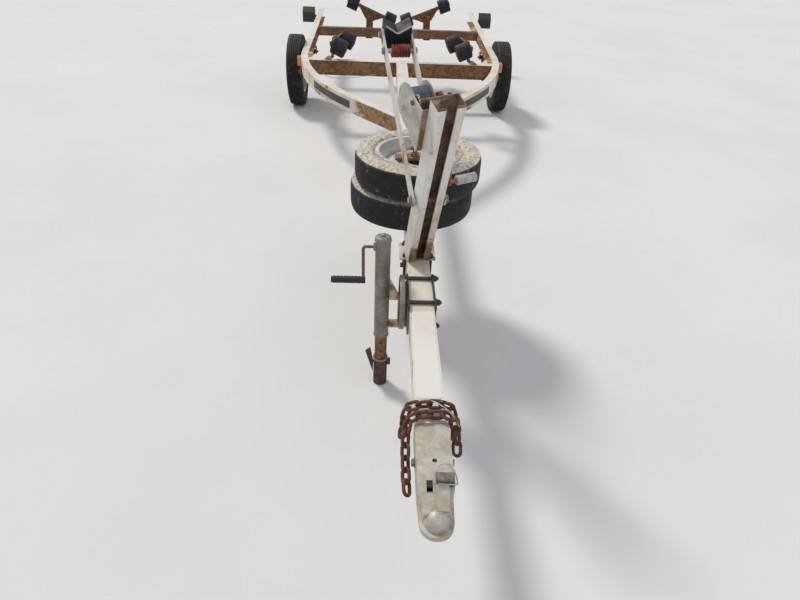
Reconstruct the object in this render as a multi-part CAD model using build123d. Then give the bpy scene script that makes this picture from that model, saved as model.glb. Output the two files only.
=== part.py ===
from build123d import *
import math
import os

os.makedirs("parts", exist_ok=True)

# A single axle boat trailer standing on its two tyres and its side jack.
# Millimetres. +X is the right seen from the front, +Y the rear, +Z up, the ground at z = 0.
# A station is a distance behind the coupler's nose, and overall_length is the last station.
overall_length = 5912.0
seat_gap = 0.3
run_gap = 5.5
pin_gap = 0.05

# Frame: a square tongue, two bent side channels and two cross-members, all level at frame_top.
frame_top = 460.0
tongue_width = 76.0
tongue_x = 6.0
tongue_wall = 5.0
tongue_front = 92.0
rail_width = 50.0
rail_front_x = 38.0
rail_height = 90.0
rail_wall = 5.0
rail_bend_radius = 1900.0
rail_front_station = 2580.0
rail_bend_x = 697.0
rail_bend_station = 3401.0
rail_rear_x = 746.0
member_depth = 50.0
member_wall = 5.0
front_member_station = 3762.0
front_member_height = 80.0
rear_member_station = 4932.0
rear_member_height = 70.0
gusset_across = 95.0
gusset_along = 260.0
gusset_thick = 6.0
gusset_lap = 12.0

# Running gear.
axle_station = 4262.0
wheel_x = 806.0
tyre_radius = 262.0
tyre_width = 122.0
tread_width = 92.0
shoulder_drop = 16.0
bead_radius = 152.4
bead_width = 96.0
rim_flange_radius = 163.0
rim_flange_half = 52.0
rim_wall = 4.0
rim_well_radius = 132.0
disc_thick = 4.0
hub_radius = 34.0
hub_bore_radius = 16.0
hub_inner_reach = 38.0
hub_outer_reach = 44.0
stud_circle = 114.3
stud_count = 5
stud_radius = 6.0
stud_length = 22.0
axle_size = 50.0
spring_width = 44.0
spring_leaf = 8.0
spring_leaves = 3
spring_leaf_step = 0.28
spring_half_span = 330.0
spring_eye_radius = 17.0
spring_eye_rise = 70.0
spring_eye_z = tyre_radius + spring_eye_rise
spring_pin_radius = 7.0
hanger_thick = 6.0
clamp_bolt_radius = 6.0
clamp_pad = 8.0
clamp_rim = 10.0

# Coupler for a 50.8 mm ball.
ball_radius = 25.4
socket_gap = 0.4
coupler_length = 276.0
coupler_wall = 3.3
coupler_drop = 64.0
nose_radius = 38.0
nose_skirt = 14.0
neck_station = 100.0
ridge_x = 12.0
ridge_width = 29.0
ridge_rise = 9.0
ridge_front = 42.0
slot_x = (-22.0, -8.0)
slot_stations = (81.0, 108.0)
slot_depth = 17.0
top_hole_station = 162.0
top_hole_radius = 6.0
socket_z = 416.0
latch_width = 40.0
latch_length = 22.0
latch_height = 24.0
latch_x = 18.0
latch_station = 91.0

# Safety chain: each run is a line of (X, station, Z) points, from one end over the tongue to the other.
link_length = 46.0
link_width = 30.0
link_radius = 4.5
link_pitch = 32.0
chain_runs = (
    ((-55.0, 142.0, 392.6), (-57.0, 200.0, 411.6), (-56.0, 252.0, 448.6), (-47.0, 276.0, 471.6),
     (-20.0, 288.0, 476.6), (12.0, 290.0, 476.6), (48.0, 284.0, 476.6), (67.0, 262.0, 448.6), (68.0, 240.0, 414.6)),
    ((-60.0, 302.0, 402.8), (-58.0, 308.0, 438.8), (-48.0, 316.0, 471.8), (-20.0, 322.0, 477.8),
     (12.0, 324.0, 477.8), (50.0, 318.0, 476.8), (66.0, 306.0, 443.8), (68.0, 296.0, 406.8)),
)

# Side jack.
jack_pivot_station = 846.0
jack_pivot_z = 416.0
jack_tube_station = 927.0
jack_x = -116.0
jack_radius = 25.0
jack_wall = 3.0
jack_top_z = 598.0
jack_bottom_z = 221.0
jack_cap_height = 14.0
leg_radius = 21.5
leg_top_z = 508.0
foot_radius = 24.5
foot_height = 120.0
foot_pin_radius = 5.0
foot_pin_z = 97.0
foot_knob_radius = 13.0
foot_knob_length = 11.0
mount_plate = 6.0
mount_stations = (738.0, 924.0)
mount_bolt_stations = (775.0, 911.0)
mount_margin = 9.0
mount_bolt_radius = 6.0
pivot_pin_radius = 14.0
pivot_disc_radius = 87.0
fixed_disc_radius = 68.0
pivot_disc = 6.0
saddle_low = 266.0
saddle_high = 387.0
saddle_brace = 467.0
saddle_thick = 6.0
saddle_half = 20.0
crank_rod_radius = 5.0
crank_shaft_z = 572.0
crank_arm_length = 126.0
crank_x = -179.0
crank_grip_radius = 11.0
crank_grip_length = 96.0

# Winch stand: a lipped channel that leans forward, on a base plate. The stand is turned on
# the tongue and the post is twisted in its own length, as the worn one is.
post_station = 1054.0
stand_yaw = 10.0
post_lean = 22.0
post_twist = 11.5
post_width = 80.0
post_depth = 50.0
post_wall = 4.0
post_lip = 24.0
post_length = 652.0
base_plate = 6.0
clamp_inset = 14.0
clamp_rod = 5.0
clamp_ear = 12.0
clamp_strap = 6.0
base_width = 124.0
base_x = 4.0
base_front_station = 1036.0
base_rear_station = 1146.0
bow_arm_gap = 94.0
bow_arm_thick = 6.0
bow_arm_width = 40.0
bow_arm_low = (-107.0, 265.0)
bow_arm_high = (483.0, 619.0)
bow_pin_radius = 8.0
bow_block_depth = 62.0
bow_block_low = -42.0
bow_block_high = 48.0
bow_block_notch = 26.0
bow_roller_radius = 22.0
bow_roller_back = 77.0
bow_roller_span = (-29.0, 37.0)

# Winch, in the post's own frame: across, behind the post's middle, and along the post.
winch_left = -60.0
winch_right = 27.0
winch_plate = 4.0
drum_behind = 136.0
drum_along = 538.0
drum_shaft_radius = 8.0
drum_core_radius = 20.0
gear_radius = 62.0
winch_base_margin = 4.0
gear_teeth = 48
gear_thick = 7.0
drum_flange_radius = 62.0
drum_flange = 3.0
strap_width = 56.0
strap_radius = 49.0
pinion_behind = 80.0
pinion_along = 596.0
pinion_shaft_radius = 7.0
pinion_teeth = 14
winch_crank_length = 252.0
winch_crank_x = 46.0
winch_crank_width = 24.0
winch_crank_thick = 6.0
winch_grip_radius = 15.0
winch_grip_length = 65.0
winch_grip_gap = 21.0

# Two spare wheels lying on the tongue behind the stand.
spare_radius = 240.0
spare_station = 1457.0
spare_lower_shift = (-6.0, 4.0)
spare_upper_shift = (12.0, -12.0)
carrier_stud_radius = 8.0
carrier_clamp_length = 150.0
carrier_clamp_width = 44.0
carrier_clamp_thick = 9.0

# Hull rollers: one rocker on each side in front, one V cradle on each side at the rear.
roller_radius = 58.0
roller_length = 96.0
roller_axle_radius = 10.0
hull_tilt = 22.0
rocker_station = 3842.0
rocker_x = 460.0
rocker_z = 582.0
rocker_yaw = 11.0
rocker_half = 122.0
rocker_height = 46.0
rocker_thick = 10.0
roller_end_cap = 6.0
rocker_pin_radius = 10.0
rocker_upright = 8.0
rocker_neck = 42.0
cradle_x = 236.0
cradle_z = 575.0
cradle_behind_member = 100.0
cradle_plate = 10.0
cradle_roller_offset = 172.5
cradle_drop = 50.0
cradle_pin_radius = 9.0
cradle_clevis = 8.0
cradle_post_width = 60.0

# Lamps.
tail_lamp_x = 846.0
tail_lamp_low = 384.0
tail_lamp_high = 510.0
tail_lamp_brow = 470.0
tail_lamp_width = 114.0
tail_lamp_depth = 70.0
tail_lamp_back = 375.0
tail_lamp_station = overall_length - tail_lamp_back
lens_thick = 12.0
marker_size = (30.0, 66.0, 60.0)
marker_station = 3922.0


def y_at(station):
    """Y of a distance behind the coupler's nose."""
    return station - overall_length / 2


def block(x, y, z):
    """A box from its (low, high) pairs."""
    size = [pair[1] - pair[0] for pair in (x, y, z)]
    middle = [(pair[1] + pair[0]) / 2 for pair in (x, y, z)]
    return Pos(*middle) * Box(*size)


def rod(start, end, radius):
    """A round bar between two points."""
    start = Vector(*start)
    run = Vector(*end) - start
    plane = Plane(origin=start + run * 0.5, z_dir=run)
    return plane * Cylinder(radius, run.length)


def side_plate(points, x_low, x_high):
    """A plate of constant X, from a (y, z) outline."""
    outline = make_face(Polyline(*[(y, z) for y, z in points], close=True))
    return Plane(origin=(x_low, 0, 0), x_dir=(0, 1, 0), z_dir=(1, 0, 0)) * extrude(outline, x_high - x_low)


def front_plate(points, y_low, y_high):
    """A plate of constant Y, from an (x, z) outline."""
    outline = make_face(Polyline(*[(x, z) for x, z in points], close=True))
    plane = Plane(origin=(0, y_high, 0), x_dir=(1, 0, 0), z_dir=(0, -1, 0))
    return plane * extrude(outline, y_high - y_low)


def turned(points, axis_plane):
    """A solid of revolution about Z from a (radius, height) outline, set on a plane."""
    outline = Plane.XZ * make_face(Polyline(*points, close=True))
    return axis_plane * revolve(outline, Axis.Z)


def mirrored(shape):
    """The left hand copy of a right hand piece."""
    return mirror(shape, Plane.YZ)


# Frame.

def rail_directions():
    """Unit directions of the rail's diagonal and of its straight, and their outward normals."""
    front = Vector(rail_front_x, rail_front_station)
    bend = Vector(rail_bend_x, rail_bend_station)
    rear = Vector(rail_rear_x, overall_length)
    first = (bend - front).normalized()
    second = (rear - bend).normalized()
    return first, second, Vector(first.Y, -first.X), Vector(second.Y, -second.X)


def rail_path(offset):
    """The right rail's line moved outward by offset, longer than the rail at both ends."""
    first, second, first_out, second_out = rail_directions()
    spare = 150.0
    front = Vector(rail_front_x, y_at(rail_front_station)) + first_out * offset - first * spare
    mitre = (first_out + second_out) * (1 / (1 + first_out.dot(second_out)))
    bend = Vector(rail_bend_x, y_at(rail_bend_station)) + mitre * offset
    rear = Vector(rail_rear_x, y_at(overall_length)) + second_out * offset + second * spare
    return FilletPolyline(front, bend, rear, radius=rail_bend_radius + offset)


def rail_band(inner, outer, low, high):
    """A band of the rail between two offsets and two heights."""
    outside = rail_path(outer)
    inside = rail_path(inner)
    outline = outside + inside + Line(outside @ 0, inside @ 0) + Line(outside @ 1, inside @ 1)
    return Pos(0, 0, low) * extrude(make_face(outline.edges()), high - low)


def rail_spot(station):
    """Point of the right rail's line at a station behind the diagonal, and its outward normal."""
    first, second, first_out, second_out = rail_directions()
    turn = math.atan2(first.X, first.Y) - math.atan2(second.X, second.Y)
    bend = Vector(rail_bend_x, y_at(rail_bend_station))
    bend_end = bend + second * (rail_bend_radius * math.tan(turn / 2))
    y = y_at(station)
    if y >= bend_end.Y:
        return bend_end + second * ((y - bend_end.Y) / second.Y), second_out
    centre = bend_end - second_out * rail_bend_radius
    spot = Vector(centre.X + math.sqrt(rail_bend_radius ** 2 - (y - centre.Y) ** 2), y)
    return spot, (spot - centre).normalized()


def rail_x(station, offset=0.0):
    """X of the right rail at a station, moved outward by offset."""
    spot, outward = rail_spot(station)
    return spot.X + offset / outward.X


def rail_side(station, height):
    """Location on the right rail's outer face: X outward, Y along the rail."""
    spot, outward = rail_spot(station)
    face = spot + outward * (rail_width / 2)
    turn = math.degrees(math.atan2(outward.Y, outward.X))
    return Pos(face.X, face.Y, height) * Rot(0, 0, turn)


def beyond_rails(inner):
    """What lies outside both rails, from an offset of their lines, to cut the cross pieces with."""
    right = rail_band(inner, rail_width / 2, -1, frame_top + 1)
    return right + mirrored(right)


def side_rail(tongue_side):
    """Right side channel, open towards the middle, cut flat at the tongue's side and at the rear."""
    half = rail_width / 2
    low = frame_top - rail_height
    web = rail_band(half - rail_wall, half, low, frame_top)
    upper = rail_band(-half, half - rail_wall, frame_top - rail_wall, frame_top)
    lower = rail_band(-half, half - rail_wall, low, low + rail_wall)
    window = block((tongue_side, wheel_x + tyre_width), (y_at(0), y_at(overall_length)), (0, frame_top + 1))
    return (web + upper + lower) & window


def tongue_span(margin):
    """X of the tongue's two sides, moved outward by a margin."""
    half = tongue_width / 2 + margin
    return tongue_x - half, tongue_x + half


def tongue():
    """Square tube from the coupler to the front cross-member."""
    length = (y_at(tongue_front), y_at(front_member_station))
    outer = block(tongue_span(0), length, (frame_top - tongue_width, frame_top))
    inner = block(tongue_span(-tongue_wall), (length[0] - 1, length[1] + 1),
                  (frame_top - tongue_width + tongue_wall, frame_top - tongue_wall))
    return outer - inner


def cross_member(station, height):
    """Channel between the rails, web in front, cut to the rails' flanges."""
    low = frame_top - height
    reach = rail_x(station + member_depth)
    front = y_at(station)
    back = y_at(station + member_depth)
    solid = block((-reach, reach), (front, back), (low, frame_top))
    solid -= block((-reach - 1, reach + 1), (front + member_wall, back + 1),
                   (low + member_wall, frame_top - member_wall))
    return solid - beyond_rails(-rail_width / 2)


def corner_gusset():
    """Flat triangle in the corner behind the front cross-member, lapped under the top flanges."""
    start = front_member_station + member_depth - gusset_lap
    end = front_member_station + member_depth + gusset_along
    near = rail_x(start, -rail_width / 2)
    far = rail_x(end, -rail_width / 2)
    outline = Polyline((near - gusset_across, y_at(start)), (far + gusset_lap, y_at(start)),
                       (far + gusset_lap, y_at(end)), (far, y_at(end)), close=True)
    top = frame_top - rail_wall
    plate = Pos(0, 0, top - gusset_thick) * extrude(make_face(outline), gusset_thick)
    return plate - rail_band(-rail_width / 2 + gusset_lap, rail_width / 2, 0, frame_top)


# Wheels. Each is drawn about Z, its outer face up, and then set on its plane.

def tyre(plane, radius):
    """Tyre ring: tread, shoulders, bulged sidewalls and beads on the rim's seats."""
    half = tyre_width / 2
    tread = tread_width / 2
    bead = bead_width / 2
    inner = bead_radius + seat_gap
    bulge = (radius + bead_radius) / 2
    side = [(radius, tread), (radius - shoulder_drop * 0.35, tread + 8),
            (radius - shoulder_drop * 1.4, half - 4), (bulge, half),
            (rim_flange_radius + 14, half - 4), (rim_flange_radius + 3, bead - seat_gap),
            (inner, bead - seat_gap)]
    points = side + [(reach, -height) for reach, height in reversed(side)]
    return turned(points, plane)


def wheel(plane, with_hub):
    """Rim, disc and, on the axle, the hub with its studs, as one welded and bolted piece."""
    bead = bead_width / 2
    outside = [(rim_flange_radius, rim_flange_half), (rim_flange_radius, rim_flange_half - rim_wall),
               (bead_radius, bead), (bead_radius, 26), (rim_well_radius, 14),
               (rim_well_radius, -14), (bead_radius, -26), (bead_radius, -bead),
               (rim_flange_radius, -rim_flange_half + rim_wall), (rim_flange_radius, -rim_flange_half)]
    inside = [(bead_radius - rim_wall, -rim_flange_half), (bead_radius - rim_wall, -24),
              (rim_well_radius - rim_wall, -12), (rim_well_radius - rim_wall, 12),
              (bead_radius - rim_wall, 24), (bead_radius - rim_wall, rim_flange_half)]
    rim = turned(outside + inside, Plane.XY)
    dish = [(rim_well_radius - rim_wall, 4), (118, 4), (100, 16), (82, 16), (74, 8), (hub_radius, 8),
            (hub_radius, 8 - disc_thick), (76, 8 - disc_thick), (84, 16 - disc_thick),
            (98, 16 - disc_thick), (116, 4 - disc_thick), (rim_well_radius - rim_wall, 4 - disc_thick)]
    disc = turned(dish, Plane.XY)
    spots = PolarLocations(stud_circle / 2, stud_count)
    if not with_hub:
        return plane * (rim + disc - spots * Cylinder(stud_radius + 1, 60))
    disc_back = 8 - disc_thick
    flange = Pos(0, 0, disc_back - 5) * Cylinder(stud_circle / 2 + 12, 10)
    barrel_length = hub_inner_reach + hub_outer_reach
    barrel = Pos(0, 0, (hub_outer_reach - hub_inner_reach) / 2) * Cylinder(hub_radius, barrel_length)
    bore_length = hub_inner_reach + hub_outer_reach - 10
    bore = Pos(0, 0, -hub_inner_reach - 0.5 + bore_length / 2) * Cylinder(hub_bore_radius + pin_gap, bore_length)
    studs = spots * (Pos(0, 0, disc_back + stud_length / 2) * Cylinder(stud_radius, stud_length))
    return plane * (rim + disc + flange + barrel + studs - bore)


def wheel_plane(side):
    """Plane of a road wheel, its outer face away from the trailer."""
    return Plane(origin=(side * wheel_x, y_at(axle_station), tyre_radius), x_dir=(0, 1, 0),
                 z_dir=(side, 0, 0))


def spare_plane(layer):
    """Plane of a spare wheel lying flat: layer 0 is below, 1 above."""
    shift = (spare_lower_shift, spare_upper_shift)[layer]
    height = frame_top + seat_gap + tyre_width / 2 + layer * (tyre_width + seat_gap)
    return Plane(origin=(shift[0], y_at(spare_station) + shift[1], height))


def axle_beam():
    """Square axle with a round spindle at each end."""
    y = y_at(axle_station)
    half = axle_size / 2
    beam_end = wheel_x - hub_inner_reach - run_gap
    low = tyre_radius - half
    beam = block((-beam_end, beam_end), (y - half, y + half), (low, low + axle_size))
    reach = wheel_x + hub_outer_reach - 10 - run_gap
    spindle = rod((-reach, y, tyre_radius), (reach, y, tyre_radius), hub_bore_radius)
    return beam + spindle


def spring_profile():
    """Side view of the stacked leaves, as Y and Z from the middle of the axle's top."""
    rise = spring_eye_z - tyre_radius - axle_size / 2 - spring_leaf * (spring_leaves - 0.5)
    main_radius = (spring_half_span ** 2 + rise ** 2) / (2 * rise)
    outer = main_radius + spring_leaf * (spring_leaves - 0.5)
    profile = None
    for leaf in range(spring_leaves):
        radius = outer - spring_leaf * leaf
        half_span = spring_half_span * (1 - spring_leaf_step * (spring_leaves - 1 - leaf))
        band = Circle(radius) - Circle(radius - spring_leaf)
        band &= Pos(0, -outer / 2 - 1) * Rectangle(2 * half_span, outer)
        profile = band if profile is None else profile + band
    return Pos(0, outer) * profile


def leaf_spring():
    """Right leaf spring: stacked leaves, an eye at each end and the clamp round the axle."""
    middle = rail_x(axle_station)
    x_low = middle - spring_width / 2
    x_high = middle + spring_width / 2
    y = y_at(axle_station)
    plane = Plane(origin=(x_low, y, tyre_radius + axle_size / 2), x_dir=(0, 1, 0), z_dir=(1, 0, 0))
    spring = plane * extrude(spring_profile(), spring_width)
    for side in (-1, 1):
        eye_y = y + side * spring_half_span
        spring += rod((x_low, eye_y, spring_eye_z), (x_high, eye_y, spring_eye_z), spring_eye_radius)
    for side in (-1, 1):
        eye_y = y + side * spring_half_span
        spring -= rod((x_low - 1, eye_y, spring_eye_z), (x_high + 1, eye_y, spring_eye_z),
                      spring_pin_radius + pin_gap)
    top_z = tyre_radius + axle_size / 2 + spring_leaves * spring_leaf
    low_z = tyre_radius - axle_size / 2
    bolt_y = axle_size / 2 + clamp_bolt_radius + 1
    bolt_x = spring_width / 2 + clamp_bolt_radius + 1
    for low, high in ((top_z - 2, top_z + clamp_pad), (low_z - clamp_pad, low_z)):
        spring += block((middle - bolt_x - clamp_rim, middle + bolt_x + clamp_rim),
                        (y - bolt_y - clamp_rim, y + bolt_y + clamp_rim), (low, high))
    for along in (-bolt_y, bolt_y):
        for across in (-bolt_x, bolt_x):
            spring += rod((middle + across, y + along, low_z - clamp_pad - 14),
                          (middle + across, y + along, top_z + clamp_pad + 8), clamp_bolt_radius)
    return spring


def spring_hanger(side):
    """Hanger under the right rail: two cheeks and the pin through the spring's eye."""
    y = y_at(axle_station) + side * spring_half_span
    middle = rail_x(axle_station)
    low = frame_top - rail_height
    inner = spring_width / 2 + 1.5
    outline = [(y - 32, low), (y + 32, low), (y + 16, spring_eye_z - 20), (y - 16, spring_eye_z - 20)]
    plates = side_plate(outline, middle - inner - hanger_thick, middle - inner)
    plates += side_plate(outline, middle + inner, middle + inner + hanger_thick)
    plates += block((middle - inner - hanger_thick, middle + inner + hanger_thick), (y - 32, y + 32),
                    (low - hanger_thick, low))
    reach = inner + hanger_thick + 8
    pin = rod((middle - reach, y, spring_eye_z), (middle + reach, y, spring_eye_z), spring_pin_radius)
    return plates + pin


def spring_hangers():
    """All four hangers, two under each rail."""
    right = spring_hanger(-1) + spring_hanger(1)
    return right + mirrored(right)


# Coupler and its latch.

def nose_plan(radius):
    """Plan of the nose: a circle round the ball's socket, widened to the channel's neck."""
    half = tongue_width / 2 + coupler_wall
    neck = Pos(0, y_at(neck_station)) * Rectangle(2 * half, 4)
    return make_hull((Pos(0, y_at(nose_radius)) * Circle(radius)).edges() + neck.edges())


def coupler_body():
    """Pressed channel over the tongue that falls to a skirt with the ball's dome."""
    top = frame_top + coupler_wall
    low = top - coupler_drop
    half = tongue_width / 2 + coupler_wall
    nose_y = y_at(nose_radius)
    neck_y = y_at(neck_station)
    socket = ball_radius + socket_gap
    dome = socket + coupler_wall
    skirt = Pos(0, 0, low) * extrude(nose_plan(nose_radius), nose_skirt)
    slope = side_plate([(nose_y, low), (nose_y, socket_z + dome - 6), (neck_y, top), (neck_y, low)], -half, half)
    slope &= Pos(0, 0, low) * extrude(nose_plan(dome), coupler_drop)
    ridge = side_plate([(y_at(ridge_front), low + nose_skirt), (y_at(ridge_front), socket_z + dome),
                        (y_at(latch_station), top + ridge_rise), (y_at(latch_station), low + nose_skirt)],
                       ridge_x - ridge_width / 2, ridge_x + ridge_width / 2)
    ball_dome = Pos(0, nose_y, socket_z) * Sphere(dome)
    ball_dome &= block((-dome, dome), (nose_y - dome, nose_y + dome), (low, top))
    channel = block((-half, half), (neck_y - 2, y_at(coupler_length)), (low, top))
    shell = skirt + slope + ball_dome + channel + ridge
    shell -= block(slot_x, [y_at(station) for station in slot_stations], (top - slot_depth, top + 1))
    shell -= rod((0, y_at(top_hole_station), top - slot_depth), (0, y_at(top_hole_station), top + 1),
                 top_hole_radius)
    shell -= block((-tongue_width / 2, tongue_width / 2), (y_at(tongue_front), y_at(coupler_length + 1)),
                   (low - 1, frame_top))
    shell -= Pos(0, nose_y, socket_z) * Sphere(socket)
    shell -= rod((0, nose_y, low - 1), (0, nose_y, socket_z), socket)
    throat_half = socket * 0.62
    shell -= block((-throat_half, throat_half), (nose_y, y_at(tongue_front + 1)), (low - 1, socket_z + 10))
    return Pos(tongue_x, 0, 0) * shell


def coupler_latch():
    """Lever box of the latch on the channel's front, to the right of its middle."""
    top = frame_top + coupler_wall
    middle = tongue_x + latch_x
    x = (middle - latch_width / 2, middle + latch_width / 2)
    y = (y_at(latch_station), y_at(latch_station + latch_length))
    box = block(x, y, (top, top + latch_height))
    return fillet(box.edges().filter_by(Axis.X).sort_by(Axis.Z)[-2:], latch_height * 0.25)


def chain_link(spot, tangent, upright):
    """One oval link at a spot: its length along the tangent, its flat side across upright."""
    plane = Plane(origin=spot, x_dir=tangent, z_dir=upright)
    ring = SlotOverall(link_length, link_width)
    ring -= SlotOverall(link_length - 4 * link_radius, link_width - 4 * link_radius)
    return plane * (Pos(0, 0, -link_radius) * extrude(ring, 2 * link_radius))


def safety_chain():
    """Rusty chain wrapped over the tongue behind the coupler, its links joined as one piece."""
    chain = None
    for points in chain_runs:
        line = Spline(*[(x, y_at(station), z) for x, station, z in points])
        count = round(line.length / link_pitch)
        for index in range(count + 1):
            spot = line @ (index / count)
            tangent = line % (index / count)
            side = tangent.cross(Vector(0, 0, 1)).normalized()
            roll = 45 if index % 2 else -45
            upright = side.rotate(Axis((0, 0, 0), tangent), roll)
            link = chain_link(spot, tangent, upright)
            chain = link if chain is None else chain + link
    return chain


# Side jack, on the left of the tongue.

def jack_mount():
    """Two plates clamped on the tongue by four bolts, a fixed disc and the swivel pin."""
    pivot_y = y_at(jack_pivot_station)
    inner_left, inner_right = tongue_span(0)
    outer_left, outer_right = tongue_span(mount_plate)
    bolt_low = frame_top - tongue_width - mount_bolt_radius - 1
    bolt_high = frame_top + mount_bolt_radius + 1
    span = [y_at(station) for station in mount_stations]
    height = (bolt_low - mount_margin, bolt_high + mount_margin)
    mount = block((outer_left, inner_left), span, height) + block((inner_right, outer_right), span, height)
    for station in mount_bolt_stations:
        for z in (bolt_low, bolt_high):
            mount += rod((outer_left - pivot_disc, y_at(station), z), (outer_right + 12, y_at(station), z),
                         mount_bolt_radius)
    mount += rod((outer_left, pivot_y, jack_pivot_z), (outer_left - pivot_disc, pivot_y, jack_pivot_z),
                 fixed_disc_radius)
    pin_end = swivel_x() - pivot_disc - 8
    return mount + rod((outer_left, pivot_y, jack_pivot_z), (pin_end, pivot_y, jack_pivot_z), pivot_pin_radius)


def swivel_x():
    """X of the turning disc's face, beside the fixed disc."""
    return tongue_span(mount_plate + pivot_disc)[0] - run_gap


def jack_tube_y():
    """Y of the jack's upright tube."""
    return y_at(jack_tube_station)


def jack_tube():
    """Outer tube with its cap and gear boss, on a saddle with the turning disc."""
    y = jack_tube_y()
    pivot_y = y_at(jack_pivot_station)
    tube = rod((jack_x, y, jack_bottom_z), (jack_x, y, jack_top_z), jack_radius)
    cap = rod((jack_x, y, jack_top_z), (jack_x, y, jack_top_z + jack_cap_height), jack_radius + 1.5)
    cap = fillet(cap.edges().sort_by(Axis.Z)[-1], jack_cap_height * 0.7)
    disc_x = swivel_x()
    disc = rod((disc_x, pivot_y, jack_pivot_z), (disc_x - pivot_disc, pivot_y, jack_pivot_z), pivot_disc_radius)
    face = disc_x - pivot_disc
    ribs = block((face - saddle_thick, face), (y - saddle_half, y + saddle_half), (saddle_low, saddle_high))
    for low in (saddle_low, saddle_high - saddle_thick):
        ribs += block((jack_x, face), (y - saddle_half, y + saddle_half), (low, low + saddle_thick))
    inner = jack_x + jack_radius - 2
    ribs += front_plate([(inner, saddle_brace), (face, saddle_high + 6), (face, saddle_high), (inner, saddle_high)],
                        y - saddle_half, y - saddle_half + saddle_thick)
    body = tube + cap + disc + ribs
    body -= rod((jack_x, y, jack_bottom_z - 1), (jack_x, y, jack_top_z - 3), jack_radius - jack_wall)
    body -= rod((disc_x + 1, pivot_y, jack_pivot_z), (face - 9, pivot_y, jack_pivot_z), pivot_pin_radius + pin_gap)
    boss = rod((jack_x - jack_radius + 3, y, crank_shaft_z), (jack_x - jack_radius - 6, y, crank_shaft_z), 13.0)
    boss -= rod((jack_x, y, crank_shaft_z), (jack_x - 50, y, crank_shaft_z), crank_rod_radius + pin_gap)
    core = rod((jack_x, y, jack_bottom_z - 1), (jack_x, y, jack_top_z - 3), jack_radius - jack_wall)
    crank_hole = rod((jack_x, y, crank_shaft_z), (jack_x - 50, y, crank_shaft_z), crank_rod_radius + pin_gap)
    return body + (boss - core) - crank_hole


def jack_leg():
    """Inner tube that slides in the outer one."""
    y = jack_tube_y()
    radius = min(leg_radius, jack_radius - jack_wall - 2 * pin_gap)
    leg = rod((jack_x, y, 8), (jack_x, y, leg_top_z - 10), radius)
    leg -= rod((jack_x, y, 20), (jack_x, y, leg_top_z + 1), radius - 3.5)
    return leg


def jack_foot():
    """Round foot sleeved on the leg, with its cross pin and the pin's flat handle."""
    y = jack_tube_y()
    foot = rod((jack_x, y, 0), (jack_x, y, foot_height), foot_radius)
    foot -= rod((jack_x, y, 8), (jack_x, y, foot_height + 1), leg_radius)
    outer = jack_x - foot_radius
    pin_left = rod((outer + 1, y, foot_pin_z), (outer - 12, y, foot_pin_z), foot_pin_radius)
    knob = rod((jack_x + foot_radius - 1, y, foot_pin_z), (jack_x + foot_radius + foot_knob_length, y, foot_pin_z),
               foot_knob_radius)
    handle = front_plate([(outer - 3, foot_pin_z - 48), (outer - 1, foot_pin_z - 4), (outer - 12, foot_pin_z + 62),
                          (outer - 30, foot_pin_z + 48)], y - 3, y + 3)
    return foot + pin_left + (knob - rod((jack_x, y, 8), (jack_x, y, foot_height), foot_radius - 1)) + handle


def jack_crank():
    """Bent crank rod: shaft, arm and the stub inside the grip."""
    y = jack_tube_y()
    low = crank_shaft_z - crank_arm_length
    start = jack_x - jack_radius + jack_wall + 1
    grip_end = crank_x - crank_rod_radius - crank_grip_length
    path = FilletPolyline((start, y, crank_shaft_z), (crank_x, y, crank_shaft_z), (crank_x, y, low),
                          (grip_end, y, low), radius=9)
    profile = Plane(origin=path @ 0, z_dir=path % 0) * Circle(crank_rod_radius)
    return sweep(profile, path)


def jack_grip():
    """Black grip on the crank."""
    y = jack_tube_y()
    low = crank_shaft_z - crank_arm_length
    start = crank_x - crank_rod_radius - 5
    end = start - crank_grip_length
    grip = rod((start, y, low), (end, y, low), crank_grip_radius)
    grip = fillet(grip.edges().filter_by(GeomType.CIRCLE), 3)
    return grip - rod((start + 1, y, low), (crank_x - crank_rod_radius - crank_grip_length, y, low), crank_rod_radius)


# Winch stand. The stand's frame is turned on the tongue, the post's frame leans and twists in it.

def stand_frame():
    """Location of the stand's frame, on the base plate's top."""
    return Pos(0, y_at(post_station), frame_top + base_plate) * Rot(0, 0, stand_yaw)


def post_frame():
    """Location of the post's own frame: X across, Y behind, Z along the post."""
    return stand_frame() * Rot(post_lean, 0, 0) * Rot(0, 0, post_twist)


def winch_post():
    """Lipped channel on its base plate, cut level at the plate, with the bow arms' bolt hole."""
    half = post_width / 2
    deep = post_depth / 2
    slot = half - post_lip
    low = -80.0
    post = block((-half, half), (-deep, deep), (low, post_length))
    post -= block((-half + post_wall, half - post_wall), (-deep + post_wall, deep - post_wall),
                  (low - 1, post_length + 1))
    post -= block((-slot, slot), (-deep - 1, -deep + post_wall + 1), (low - 1, post_length + 1))
    post = post_frame() * post
    reach = post_length
    ground = block((-reach, reach), (y_at(post_station) - reach, y_at(post_station) + reach),
                   (0, frame_top + base_plate))
    post -= ground
    plate = block((base_x - base_width / 2, base_x + base_width / 2),
                  (y_at(base_front_station), y_at(base_rear_station)), (frame_top, frame_top + base_plate))
    hole = stand_frame() * rod((-bow_arm_gap, *bow_arm_low), (bow_arm_gap, *bow_arm_low), bow_pin_radius + pin_gap)
    return post + plate - hole


def base_clamp():
    """Two U-bolts that hold the stand's base plate down on the tongue."""
    clamp = None
    sides = tongue_span(clamp_rod + 2)
    low = frame_top - tongue_width
    for station in (base_front_station + clamp_inset, base_rear_station - clamp_inset):
        y = y_at(station)
        part = block((sides[0] - clamp_ear, sides[1] + clamp_ear), (y - clamp_ear, y + clamp_ear),
                     (low - clamp_strap, low))
        for x in sides:
            part += rod((x, y, low - clamp_strap), (x, y, frame_top), clamp_rod)
        clamp = part if clamp is None else clamp + part
    return clamp


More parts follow.
